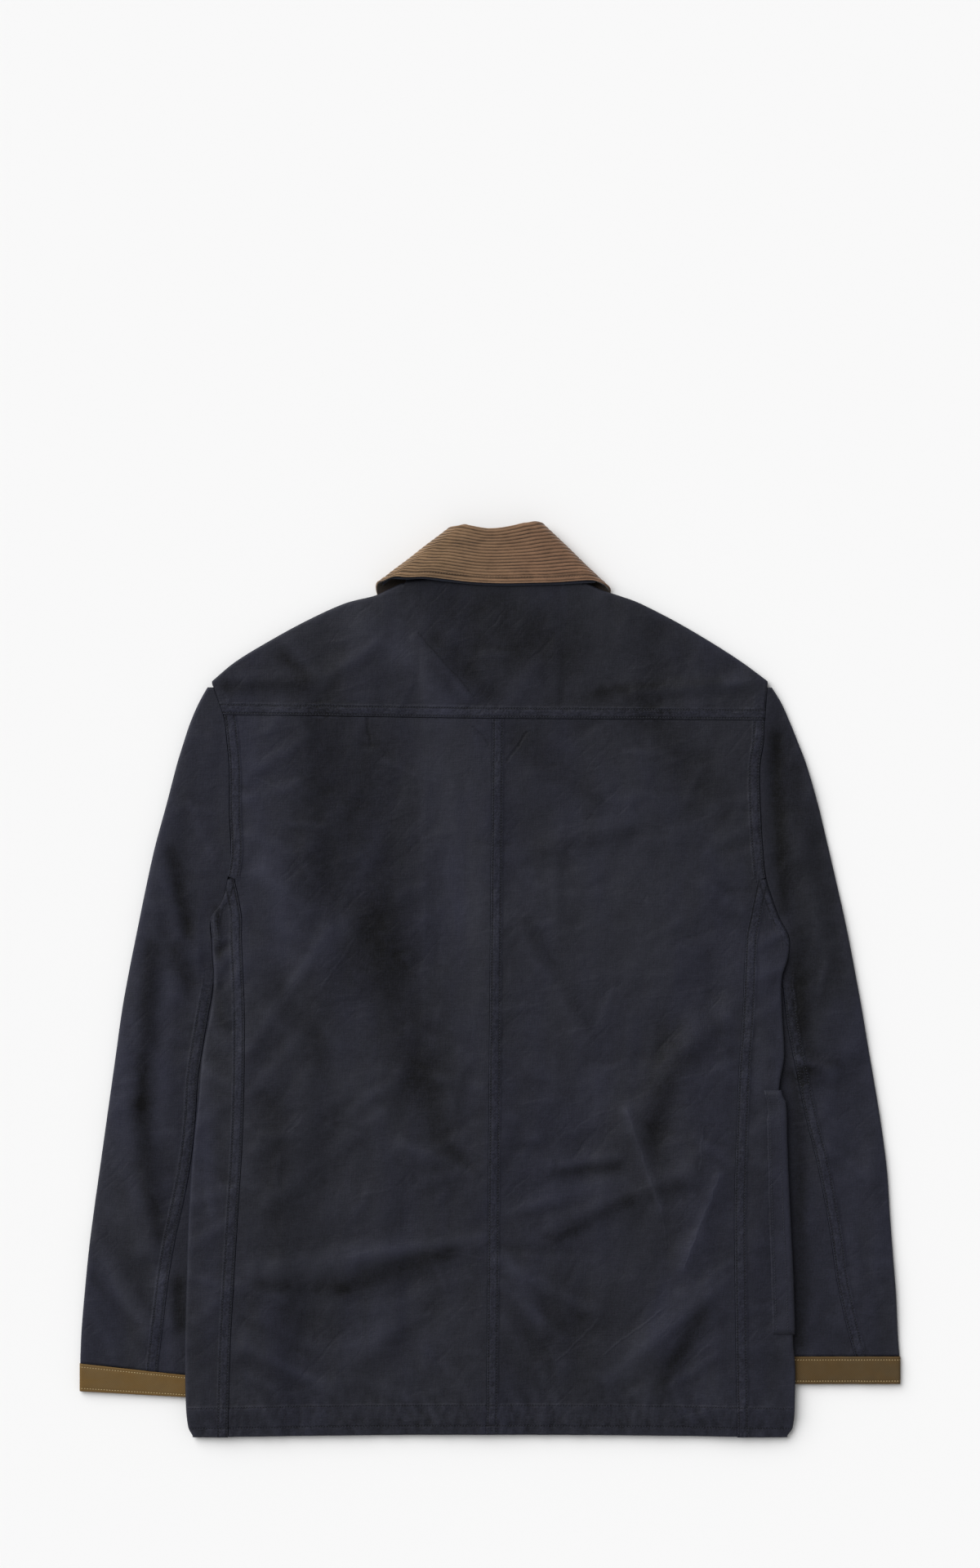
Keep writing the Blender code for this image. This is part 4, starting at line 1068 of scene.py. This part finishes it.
neck_start = max(i for i, s in enumerate(columns) if s <= YOKE_NECK[0])
neck_end = min(i for i, s in enumerate(columns) if s >= YOKE_NECK[1])
yoke = lay("yoke_cloth", [
    (len(columns) - 1, len(upward) - 1, yoke_back),
    (neck_start, FOLD_ROWS + TURN_ROWS, yoke_turn(0)),
    (len(columns) - 1 - neck_end, FOLD_ROWS + TURN_ROWS, yoke_turn(neck_end)),
], waxed_back)
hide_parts("yoke")
seams = runs(FELL_ROWS, yoke_face, lambda x, d: (x, yoke_seam(x) + d), YOKE[0][2] + 2, YOKE[-1][2] - 2)
sew("yoke_stitches", seams, navy_thread)


# ---- Sleeves -------------------------------------------------------------------------------------
# Two-piece sleeves, set in at the armhole. The top sleeve goes round the outer fold, the under sleeve
# shows behind the elbow seam and runs on below the body. The top sleeve's edge is felled with two rows.
SLEEVE_TOP = 257.0
UNDER_TOP = -6.0
SLEEVE_LENGTH, UNDER_LENGTH, SLEEVE_WIDTHS = 600, 340, (60, 60)
TOP_MIDDLE, ELBOW_MIDDLE, UNDER_MIDDLE = 320, 300, 260       # of its parts at the cuff, from the centre
CUFF_LEFT = ((-338.6, -348.7), (-363.0, -368.1))     # y of the upper and the lower edge, each out and in
CUFF_RIGHT = (-332.4, -356.6)                        # y of the upper and the lower edge
CUFF_END, CUFF_SHOWN = 361, 92   # of the left cuff: its outer fold, and the width that shows
# y, left, right: outer folds of the sleeves
SLEEVE_FOLD = (
    (-338, -361.0, 361.3), (-314, -360.0, 359.5), (-278, -357.0, 357.8), (-242, -353.5, 355.0),
    (-206, -349.0, 352.3), (-170, -344.0, 350.0), (-134, -339.0, 345.5), (-98, -334.0, 339.8),
    (-62, -329.0, 333.6), (-26, -324.0, 327.6), (10, -317.5, 321.0), (46, -310.3, 314.0),
    (82, -303.0, 306.0), (118, -295.0, 297.6), (154, -285.2, 289.0), (190, -275.8, 278.5),
    (208, -270.2, 271.6), (226, -264.2, 264.4), (244, -256.3, 256.3), (262, -246.0, 245.0),
)
# y, left, right: seams between top sleeve and under sleeve on the back of the elbow
ELBOW_SEAM = (
    (-350, -292.5, 326.0), (-330, -290.8, 320.5), (-300, -287.2, 312.5), (-264, -283.0, 305.0),
    (-228, -277.0, 300.0), (-190, -268.8, 293.5), (-156, -262.8, 286.4), (-120, -259.0, 277.4),
    (-84, -256.6, 270.0), (-40, -249.6, 261.4), (-6, -243.4, 257.7),
)
SLEEVE_FOLDS = (
    (-347, -231, -300, -303, 12, 1.2), (-292, 60, -312, -110, 15, -0.7), (-280, 150, -300, 40, 12, 0.9),
    (-335, -120, -300, -180, 16, 0.9), (262, -70, 300, -82, 9, 1.1), (298, 120, 318, -150, 18, -0.8),
    (262, 170, 290, 60, 14, 0.9), (325, -180, 345, -290, 16, 0.9), (300, -120, 335, -160, 14, 0.8),
    (-300, 60, -318, -110, 12, 2.0), (-318, -110, -303, -236, 12, 2.0), (-293, 116, -277, 40, 8, 1.3),
    (-285, 30, -278, -12, 8, 1.1), (-284, -266, -281, -306, 7, 1.2), (-262, 226, -300, 110, 14, 1.0),
    (290, 60, 312, -60, 12, 1.1), (316, -230, 330, -320, 10, 1.0), (-340, -240, -300, -306, 8, 1.2),
)
SLEEVE_CREASES = (
    (-347, -231, -300, -303, 6, 0.9), (-350, -262, -318, -306, 6, -0.5), (-330, -270, -296, -322, 6, 0.6),
    (-300, 190, -262, 214, 7, 0.5), (-262, 150, -246, 110, 6, 0.5), (-290, 60, -304, -60, 9, 0.6),
    (-276, 60, -270, -20, 7, 0.6), (-258, 20, -252, -60, 6, 0.6), (-320, -20, -296, -70, 8, 0.5),
    (-336, -150, -306, -196, 8, 0.6), (-300, -210, -292, -280, 6, 0.5), (-352, -290, -330, -330, 6, 0.5),
    (262, -68, 300, -80, 4, 0.9), (268, -84, 306, -96, 5, -0.5), (266, 140, 292, 30, 8, 0.6),
    (286, 180, 274, 110, 7, 0.5), (308, 60, 322, -60, 9, 0.6), (282, -10, 304, -100, 8, 0.5),
    (334, -150, 346, -250, 8, 0.6), (318, -230, 340, -310, 7, 0.5), (300, -150, 336, -176, 6, 0.6),
    (300, -260, 318, -320, 5, 0.5),
)


def sleeve_face(x, y, side):
    """Height of a sleeve's upper face: level with the body at the armhole, flat under the body."""
    toward = OUTWARD[side]
    seam = armhole(y, side)
    out = smooth(toward * (x - seam), 0, 45 if side == 1 else 16)
    beside = smooth(y, 10, 50)
    free = smooth(toward * (x - seam), 3, 14)
    fade = mix(free, out, beside) * smooth(y, 250, 210)
    shape = creases(SLEEVE_FOLDS, x, y) * fade
    shape = 2.4 * math.tanh(shape / 2.4) if shape > 0 else 0.6 * math.tanh(shape / 0.6)
    fine = (creases(SLEEVE_CREASES, x, y) + unevenness(x, y)) * free
    fine = fine if fine > 0 else 0.5 * math.tanh(fine / 0.5)
    flat = mix(SLEEVE_FLAT, mix(high(seam, y), SLEEVE_FLAT, out), beside)
    return flat + shape + fine * smooth(y, 256, 225)


def cuff_line(x, side, lower):
    """y of the cuff's upper or lower edge."""
    if side == 2:
        return CUFF_RIGHT[lower]
    return mix(CUFF_LEFT[lower][0], CUFF_LEFT[lower][1], (x + CUFF_END) / CUFF_SHOWN)


def sleeve_seam(y, side):
    """x of the top sleeve's back edge: the armhole, and the elbow seam below it."""
    toward = OUTWARD[side]
    return (rail(ELBOW_SEAM, y, side) if y < UNDER_TOP else armhole(y, side)) + toward * SEAM


def top_sleeve_face(x, y, side):
    toward = OUTWARD[side]
    rise, band = fell(toward * (x - sleeve_seam(y, side)), y)
    felled = smooth(y, UNDER_TOP + 30, UNDER_TOP - 20)
    return sleeve_face(x, y, side) + rise * felled, band * felled


for mark, side in (("left", 1), ("right", 2)):
    toward = OUTWARD[side]
    upward = marks(SLEEVE_LENGTH, PITCH)

    def sleeve_y(x, j):
        return mix(cuff_line(x, side, 0) + SEAM, SLEEVE_TOP, upward[j] / upward[-1])

    stations = turns(*SLEEVE_WIDTHS, (FELL_STRIP,))

    def top_place(i, j):
        y = sleeve_y(toward * TOP_MIDDLE, j)
        inner = sleeve_seam(y, side)
        x, weight = around(stations[i], inner, rail(SLEEVE_FOLD, y, side), inner + toward * CLEAR)
        y = sleeve_y(x, j)
        top, dark = top_sleeve_face(x, y, side)
        return (x, y, level(top, 0.0, weight)), dark * max(0.0, weight)

    rows = len(upward) - 1
    under_body = min(j for j in range(rows) if top_place(0, j)[0][1] > UNDER_TOP)
    sleeve = lay("sleeve_top_" + mark + "_cloth", [(len(stations) - 1, rows, top_place)], waxed_cotton,
                 tucks=[(2, rows - under_body, tuck(top_place, lambda k: (0, under_body + k), -toward, 0))])
    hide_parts("sleeve_top_" + mark)

    def face(x, y):
        return top_sleeve_face(x, y, side)

    bottom = cuff_line(toward * ELBOW_MIDDLE, side, 0)
    seams = runs(FELL_ROWS, face, lambda y, d: (sleeve_seam(y, side) + toward * d, y),
                 bottom + 2, UNDER_TOP - 4)
    sew("sleeve_" + mark + "_stitches", seams, navy_thread)

    under_turns = turns(*SLEEVE_WIDTHS)
    under_up = marks(UNDER_LENGTH, PITCH)

    def under_place(i, j):
        share = under_up[j] / under_up[-1]
        y = mix(cuff_line(toward * UNDER_MIDDLE, side, 0) + SEAM, UNDER_TOP, share)
        seam = sleeve_seam(y, side) - toward * SEAM
        x, weight = around(under_turns[i], seam, rail(HIDDEN_FOLD, y, side), seam)
        y = mix(cuff_line(x, side, 0) + SEAM, UNDER_TOP, share)
        return (x, y, level(sleeve_face(x, y, side), 0.0, weight)), 0.0

    rows = len(under_up) - 1
    under = lay("sleeve_under_" + mark + "_cloth", [(len(under_turns) - 1, rows, under_place)],
                waxed_cotton, tucks=[(2, rows, tuck(under_place, lambda k: (0, k), toward, 0))])
    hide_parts("sleeve_under_" + mark)


# ---- Cuffs ---------------------------------------------------------------------------------------
# A band of olive-brown cotton twill round the end of each sleeve, sewn on near both its edges with
# paler thread, and joined to itself on the underside.
CUFF_FOLDS = (361.6, 223.6)      # outer and hidden fold, from the centre
CUFF_JOIN = 292.0
CUFF_PROUD = 0.6
CUFF_ROWS = (0.11, 0.88)         # its rows of stitches, as shares of its depth
CUFF_TURN, CUFF_DEPTH = 66, 24.4


def make_twill(name):
    finish = Finish(name, 0.03, 0.12)
    slant = finish.stretched(0.9, 0.9, 0.9)
    ribs = finish.node("ShaderNodeTexWave", {"bands_direction": "DIAGONAL"},
                       {"Vector": slant, "Scale": 0.32, "Distortion": 1.5, "Detail": 2.0})
    cloud = finish.cloud(22.0, 16.0, 20.0, detail=3.0)
    fibre = finish.cloud(0.8, 0.8, 0.8)
    side = finish.rightward(-320.0, 320.0)
    shade = cloud.above(0.35, 0.7)
    left = finish.colour_mix(shade, (0.132, 0.078, 0.026, 1.0), (0.122, 0.077, 0.031, 1.0))
    right = finish.colour_mix(shade, (0.084, 0.052, 0.021, 1.0), (0.076, 0.051, 0.024, 1.0))
    cloth = finish.colour_mix(side, left, right)
    rubbed = finish.painted("band")
    tone = 0.70 + 0.26 * cloud + 0.18 * fibre + 0.14 * ribs + 0.20 * rubbed
    return finish.apply(finish.lit(cloth, tone), 0.82 + 0.1 * fibre, 0.10 * ribs + 0.06 * fibre, 0.8)


olive_twill = make_twill("olive_twill")
straw_thread = make_thread("straw_thread", (0.52, 0.40, 0.21, 1.0), (0.30, 0.22, 0.11, 1.0))


def cuff_point(s, t, side):
    """A point of the cuff: s goes from the join over the top and back, t from the lower edge up."""
    toward = OUTWARD[side]
    fold = CUFF_FOLDS[0] if s <= 0 else CUFF_FOLDS[1]
    gap = -SEAM / 2 if s <= 0 else SEAM / 2
    x, weight = around(abs(s), toward * CUFF_JOIN, toward * fold, toward * (CUFF_JOIN - gap))
    y = mix(cuff_line(x, side, 1), cuff_line(x, side, 0), t)
    drawn = sum(math.exp(-((t - row) / 0.045) ** 2) for row in CUFF_ROWS)
    wave = 0.22 * ripple(x / 5.0, y / 7.0, 1.7) + 0.35 * ripple(x / 21.0, y / 30.0, 9.0)
    if side == 2:
        wave += 0.9 * max(-0.4, ripple(x / 9.0 + y / 16.0, y / 26.0, 4.1))
    round_edge = 0.35 * (smooth(t, 0.05, 0.0) + smooth(t, 0.95, 1.0))
    top = SLEEVE_FLAT + CUFF_PROUD + wave - 0.3 * drawn - round_edge
    return (x, y, level(top, 0.0, weight)), max(smooth(t, 0.07, 0.0), smooth(t, 0.93, 1.0))


for mark, side in (("left", 1), ("right", 2)):
    half = turns(CUFF_TURN, CUFF_TURN, below=PITCH)
    stations = [-s for s in reversed(half)] + half[1:]
    upward = marks(CUFF_DEPTH, FINE)
    grid = (len(stations) - 1, len(upward) - 1,
            lambda i, j: cuff_point(stations[i], upward[j] / upward[-1], side))
    cuff = lay("cuff_" + mark + "_cloth", [grid], olive_twill, up=False)
    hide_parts("cuff_" + mark)
    seams = [[cuff_point(mix(-1.5, 1.5, n / 120), row, side)[0] for n in range(121)] for row in CUFF_ROWS]
    sew("cuff_" + mark + "_stitches", seams, straw_thread)


# ---- Collar --------------------------------------------------------------------------------------
# A leaf of brown corduroy, eight wales to the inch, rolled over at the neck and folded at both sides to
# the front points. Its edge is stitched once, and its pile is rubbed pale on the ridges and at the folds.
ROLL, ROLL_TOP = 2.7, 15.0       # outer radius and height of the roll
ROLL_END = 1.2                   # the leaf runs on past the roll by this much, under itself
LEAF_WIDTH = 52
WALES, WALE_DEPTH = 17, 0.7
LEAF_EDGE_ROW = 5.6              # the row of stitches, from the leaf's edge
# roll x, y; edge x, y; neck seam x, y; angle the leaf faces, 90 upwards; side it folds to; edge height
COLLAR = (
    (-5.8, 324.5, -56.2, 287.1, -0.5, 290.8, -90, -1, 12.0),
    (-15.8, 343.2, -77.8, 297.9, -30.0, 293.8, -90, -1, 12.0),
    (-26.6, 364.8, -92.0, 314.0, -57.0, 304.6, -90, -1, 12.0),
    (-34.0, 382.0, -97.0, 333.0, -73.4, 324.0, -90, -1, 12.0),
    (-39.7, 394.7, -101.5, 341.0, -73.4, 350.8, -60, -1, 12.0),
    (-36.7, 397.3, -101.0, 346.0, -73.4, 350.8, -20, -1, 12.2),
    (-33.7, 399.8, -99.0, 350.4, -73.4, 350.9, 20, -1, 13.2),
    (-30.0, 402.9, -95.5, 354.0, -73.0, 351.0, 60, -1, 14.6),
    (-22.1, 400.4, -84.4, 354.2, -69.0, 351.6, 90, -1, 15.6),
    (-18.0, 399.6, -72.0, 353.6, -57.6, 353.2, 90, -1, 16.6),
    (-13.0, 398.6, -57.0, 354.0, -43.0, 354.1, 90, -1, 16.0),
    (-7.4, 397.6, -37.0, 351.8, -26.0, 354.9, 90, -1, 13.6),
    (-1.0, 396.9, -14.4, 349.4, -8.0, 355.2, 90, -1, 12.4),
    (7.0, 397.3, 10.8, 348.4, 10.0, 355.2, 90, 1, 12.4),
    (14.6, 398.4, 36.0, 348.8, 28.0, 355.0, 90, 1, 12.4),
    (21.6, 399.8, 57.6, 349.3, 46.0, 354.7, 90, 1, 12.4),
    (28.2, 401.4, 74.2, 350.4, 61.0, 354.5, 90, 1, 12.6),
    (34.4, 402.2, 89.3, 351.1, 72.0, 353.2, 90, 1, 12.8),
    (42.3, 406.3, 98.3, 352.3, 78.0, 351.8, 60, 1, 12.8),
    (44.8, 403.6, 103.0, 347.8, 78.2, 351.8, 20, 1, 12.8),
    (47.5, 400.4, 106.5, 344.5, 78.2, 351.8, -20, 1, 12.6),
    (50.5, 397.6, 108.5, 342.6, 78.2, 351.8, -60, 1, 12.6),
    (43.0, 385.0, 104.0, 333.0, 78.2, 324.0, -90, 1, 12.0),
    (31.0, 366.0, 97.0, 313.0, 60.0, 304.6, -90, 1, 12.0),
    (16.0, 344.0, 80.0, 297.0, 30.0, 293.8, -90, 1, 12.0),
    (5.8, 324.5, 56.2, 287.1, 0.5, 290.8, -90, 1, 12.0),
)


def leaf_frame(row):
    """Directions of a section: from the roll to the edge, sideways in plan, and out of the cloth."""
    along = Vector((row[2] - row[0], row[3] - row[1], 0.0)).normalized()
    plan = Vector((row[7] * abs(along.y), abs(along.x), 0.0))
    angle = math.radians(row[6])
    return along, plan, plan * math.cos(angle) + Vector((0.0, 0.0, math.sin(angle)))


def leaf_point(row, t, inset=0.0):
    """A point of the leaf, t = 0 at the roll and 1 at its edge, moved in by inset."""
    along, plan, normal = leaf_frame(row)
    half = mix(ROLL_TOP, row[8], t) / 2
    start = Vector((row[0], row[1], 0.0)) + along * ROLL
    point = start.lerp(Vector((row[2], row[3], 0.0)), t)
    if abs(row[6]) < 90:
        point -= plan * half * (1.0 - math.cos(math.radians(row[6])))
    point.z = half * (1.0 + math.sin(math.radians(row[6])))
    return point - normal * inset


ROLL_STEPS = 16
LEAF_STEPS = 7 * WALES
ROLL_WALES = 3.0                 # wales on the roll itself


def make_corduroy(name):
    """Brown pile: ridges rubbed pale, grooves darkened as painted shade, yellower to the left and redder to
    the right.
    The wrong side, which shows only inside the folds, is painted almost black as the shade in them."""
    finish = Finish(name, 0.35, 0.15)
    ridge = finish.painted("band")
    across = finish.rightward(-70.0, 70.0)
    cloud = finish.cloud(24.0, 15.0, 20.0, detail=3.0, distortion=0.3)
    pile = finish.cloud(2.2, 0.9, 1.2, detail=2.0)
    tuft = finish.cloud(0.8, 0.8, 0.8, detail=1.0)
    pale = finish.colour_mix(across, (0.225, 0.140, 0.076, 1.0), (0.200, 0.110, 0.064, 1.0))
    # The grooves' colour is painted shade; the pale ridges are rubbed pile.
    groove_shade = finish.colour_mix(across, (0.046, 0.027, 0.014, 1.0), (0.042, 0.023, 0.013, 1.0))
    rubbed = finish.cloud(13.0, 7.0, 10.0, detail=3.0, distortion=0.6)
    wear_and_shade = (ridge + 0.34 * pile + 0.5 * rubbed - 0.42).above(0.05, 0.95)
    tone = 0.37 + 0.46 * cloud + 0.32 * tuft + 0.44 * rubbed
    relief = 0.35 * pile + 0.22 * tuft
    # The inner face is painted almost black, as shade inside the folds of the leaf.
    shaded_inner_face = finish.painted("shaded_inner_face")
    cloth = finish.colour_mix(shaded_inner_face, finish.colour_mix(wear_and_shade, groove_shade, pale), (0.026, 0.019, 0.015, 1.0))
    return finish.apply(finish.lit(cloth, tone), 0.9 + 0.05 * tuft, relief, 0.9)


corduroy = make_corduroy("brown_corduroy")
brown_thread = make_thread("brown_thread", (0.165, 0.102, 0.060, 1.0), (0.090, 0.054, 0.031, 1.0))
COLLAR_COLUMNS = 200


def wale(phase):
    """Height of the pile over one wale, 1 on its ridge and 0 in its groove."""
    return abs(math.cos(math.pi * phase)) ** 0.7


def section_point(row, t, inset=0.0):
    """A point of the collar's section: t from -1 at the roll's inner end to 0, then to 1 at the edge."""
    if t >= 0:
        return leaf_point(row, t, inset)
    along, _, normal = leaf_frame(row)
    centre = leaf_point(row, 0.0) - normal * ROLL
    if t <= -1:
        return centre - normal * (ROLL - inset) + along * ROLL_END
    angle = math.pi * (1 + t) - math.pi / 2
    return centre + (normal * math.sin(angle) - along * math.cos(angle)) * (ROLL - inset)


def station_keys():
    """Distance of each row of the table along the middle of the collar."""
    keys, before = [0.0], section_point(COLLAR[0], 0.5)
    for row in COLLAR[1:]:
        here = section_point(row, 0.5)
        keys.append(keys[-1] + (here - before).length)
        before = here
    return keys


KEYS = station_keys()


def between_rows(point_of_row, share):
    """A smooth curve through the points that the table's rows give, at a share of the collar's length."""
    points = [(key, *point_of_row(row)) for key, row in zip(KEYS, COLLAR)]
    return Vector(rail(points, share * KEYS[-1], column) for column in (1, 2, 3))


collar_rows = [-1.0 - 1.0 / ROLL_STEPS] + [n / ROLL_STEPS - 1.0 for n in range(ROLL_STEPS)]
collar_rows += [n / LEAF_STEPS for n in range(LEAF_STEPS + 1)]


def collar_pile(t, share):
    """Height of the pile from 0 to 1, and how far the face lies below the solid's."""
    if t < 0:
        pile = wale(ROLL_WALES * t)
        return pile, WALE_DEPTH * (1.0 - pile)
    wander = 0.22 * ripple(share * 9.0, t * 2.0, 1.1)
    pile = wale(WALES * t + wander * smooth(t, 0.0, 0.2) * smooth(t, 1.0, 0.85))
    sewn = math.exp(-(((1 - t) * LEAF_WIDTH - LEAF_EDGE_ROW) / 0.8) ** 2)
    uneven = 0.55 * ripple(share * 16.0, t * 3.0, 2.5) * smooth(t, 0.0, 0.3)
    return pile * (1.0 - 0.6 * sewn), WALE_DEPTH * (1.0 - pile) + 0.35 * sewn - uneven


def collar_place(i, j, inset=None):
    t, share = collar_rows[j], i / COLLAR_COLUMNS
    pile, sunk = collar_pile(t, share)
    depth = sunk if inset is None else inset
    point = between_rows(lambda row: section_point(row, t, depth), share)
    point.z = max(0.0, point.z)
    return point, pile


def wall_by_section(piece, outer, inner, columns):
    """Applies a piece's wall, marks its inner face, and places both faces by section."""
    solid = bpy.data.meshes.new_from_object(piece.evaluated_get(bpy.context.evaluated_depsgraph_get()))
    piece.modifiers.clear()
    piece.data = solid
    count = len(solid.vertices) // 2
    shaded_inner_face = solid.attributes.new("shaded_inner_face", "FLOAT", "POINT").data
    for vert in solid.vertices:
        shaded_inner_face[vert.index].value = float(vert.index >= count)
        j, i = divmod(vert.index % count, columns)
        vert.co = (outer if vert.index < count else inner)(i, j) * MM


grid = (COLLAR_COLUMNS, len(collar_rows) - 1, collar_place)
collar = lay("collar_cloth", [grid], corduroy, wall=CORDUROY)
wall_by_section(collar, lambda i, j: collar_place(i, j)[0], lambda i, j: collar_place(i, j, CORDUROY)[0],
                COLLAR_COLUMNS + 1)
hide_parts("collar")


RUN_STEPS = 240


def leaf_run(first, last, from_edge, out):
    """Points along the leaf, at a distance from its edge."""

    def at(row):
        length = math.hypot(row[2] - row[0], row[3] - row[1]) - ROLL
        return leaf_point(row, 1.0 - from_edge / length, -out)

    points = [between_rows(at, mix(first, last, n / RUN_STEPS)) for n in range(RUN_STEPS + 1)]
    return [(x, y, max(0.4, z)) for x, y, z in points]


sew("collar_stitches", [leaf_run(0.03, 0.97, LEAF_EDGE_ROW, -0.25)], brown_thread)


# ---- Under collar and stand ----------------------------------------------------------------------
# Plain navy cotton: the under collar lies below the leaf, and its edge rolls out a little way past it;
# the stand joins the neck seam to the inner side of the roll.


def make_navy(name):
    finish = Finish(name, 0.1, 0.3)
    fibre = finish.cloud(0.8, 1.1, 0.9)
    cloud = finish.cloud(16.0, 12.0, 14.0, detail=3.0)
    shade = cloud.above(0.35, 0.7)
    colour = finish.colour_mix(shade, (0.014, 0.017, 0.031, 1.0), (0.010, 0.012, 0.021, 1.0))
    relief = 0.1 * fibre + 0.15 * cloud
    return finish.apply(finish.lit(colour, 0.75 + 0.3 * fibre), 0.72 + 0.1 * fibre, relief, 0.7)


navy_cotton = make_navy("navy_cotton")
UNDER = 1.0                      # the under collar's thickness
UNDER_STATIONS = (5, 20)         # the collar's rows between which it shows
UNDER_START = 0.16               # it starts at this share of the leaf's width
UNDER_REACH = (0.93, 1.045)      # and ends at this share, in the side folds and along the back
UNDER_COLUMNS, UNDER_ROWS = 120, 24
CORNER_GAP = 4.0                 # the stand ends this far below the roll at the collar's corners
STAND_STEPS = 10


def under_place(i, j, inset=CORDUROY + CLEAR):
    share = mix(KEYS[UNDER_STATIONS[0]], KEYS[UNDER_STATIONS[1]], i / UNDER_COLUMNS) / KEYS[-1]

    def at(row):
        reach = mix(UNDER_REACH[0], UNDER_REACH[1], smooth(row[6], 40, 90))
        return leaf_point(row, mix(UNDER_START, reach, j / UNDER_ROWS), inset)

    return between_rows(at, share), 0.0


grid = (UNDER_COLUMNS, UNDER_ROWS, under_place)
under_collar = lay("under_collar_cloth", [grid], navy_cotton, up=False, wall=UNDER)
wall_by_section(under_collar, lambda i, j: under_place(i, j)[0],
                lambda i, j: under_place(i, j, CORDUROY + CLEAR + UNDER)[0], UNDER_COLUMNS + 1)
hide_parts("under_collar")


def stand_place(i, j, out=0.0):
    def at(row):
        along, _, normal = leaf_frame(row)
        corner = smooth(abs(row[0] - 6), 20, 28) * smooth(row[1], 384, 390)
        roll_end = leaf_point(row, 0.0) - normal * 2 * ROLL
        roll_end += along * (ROLL_END + mix(CLEAR, CORNER_GAP, corner))
        half = (NECK_TOP - 2 * CLOTH - NECK_LIFT) / 2
        neck = Vector((row[4], row[5], NECK_LIFT + CLOTH + half)) + normal * half
        return neck.lerp(roll_end, j / STAND_STEPS) + normal * out

    return between_rows(at, i / COLLAR_COLUMNS), 0.0


stand = lay("collar_stand_cloth", [(COLLAR_COLUMNS, STAND_STEPS, stand_place)], navy_cotton)
wall_by_section(stand, lambda i, j: stand_place(i, j)[0], lambda i, j: stand_place(i, j, WALL)[0],
                COLLAR_COLUMNS + 1)
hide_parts("collar_stand")
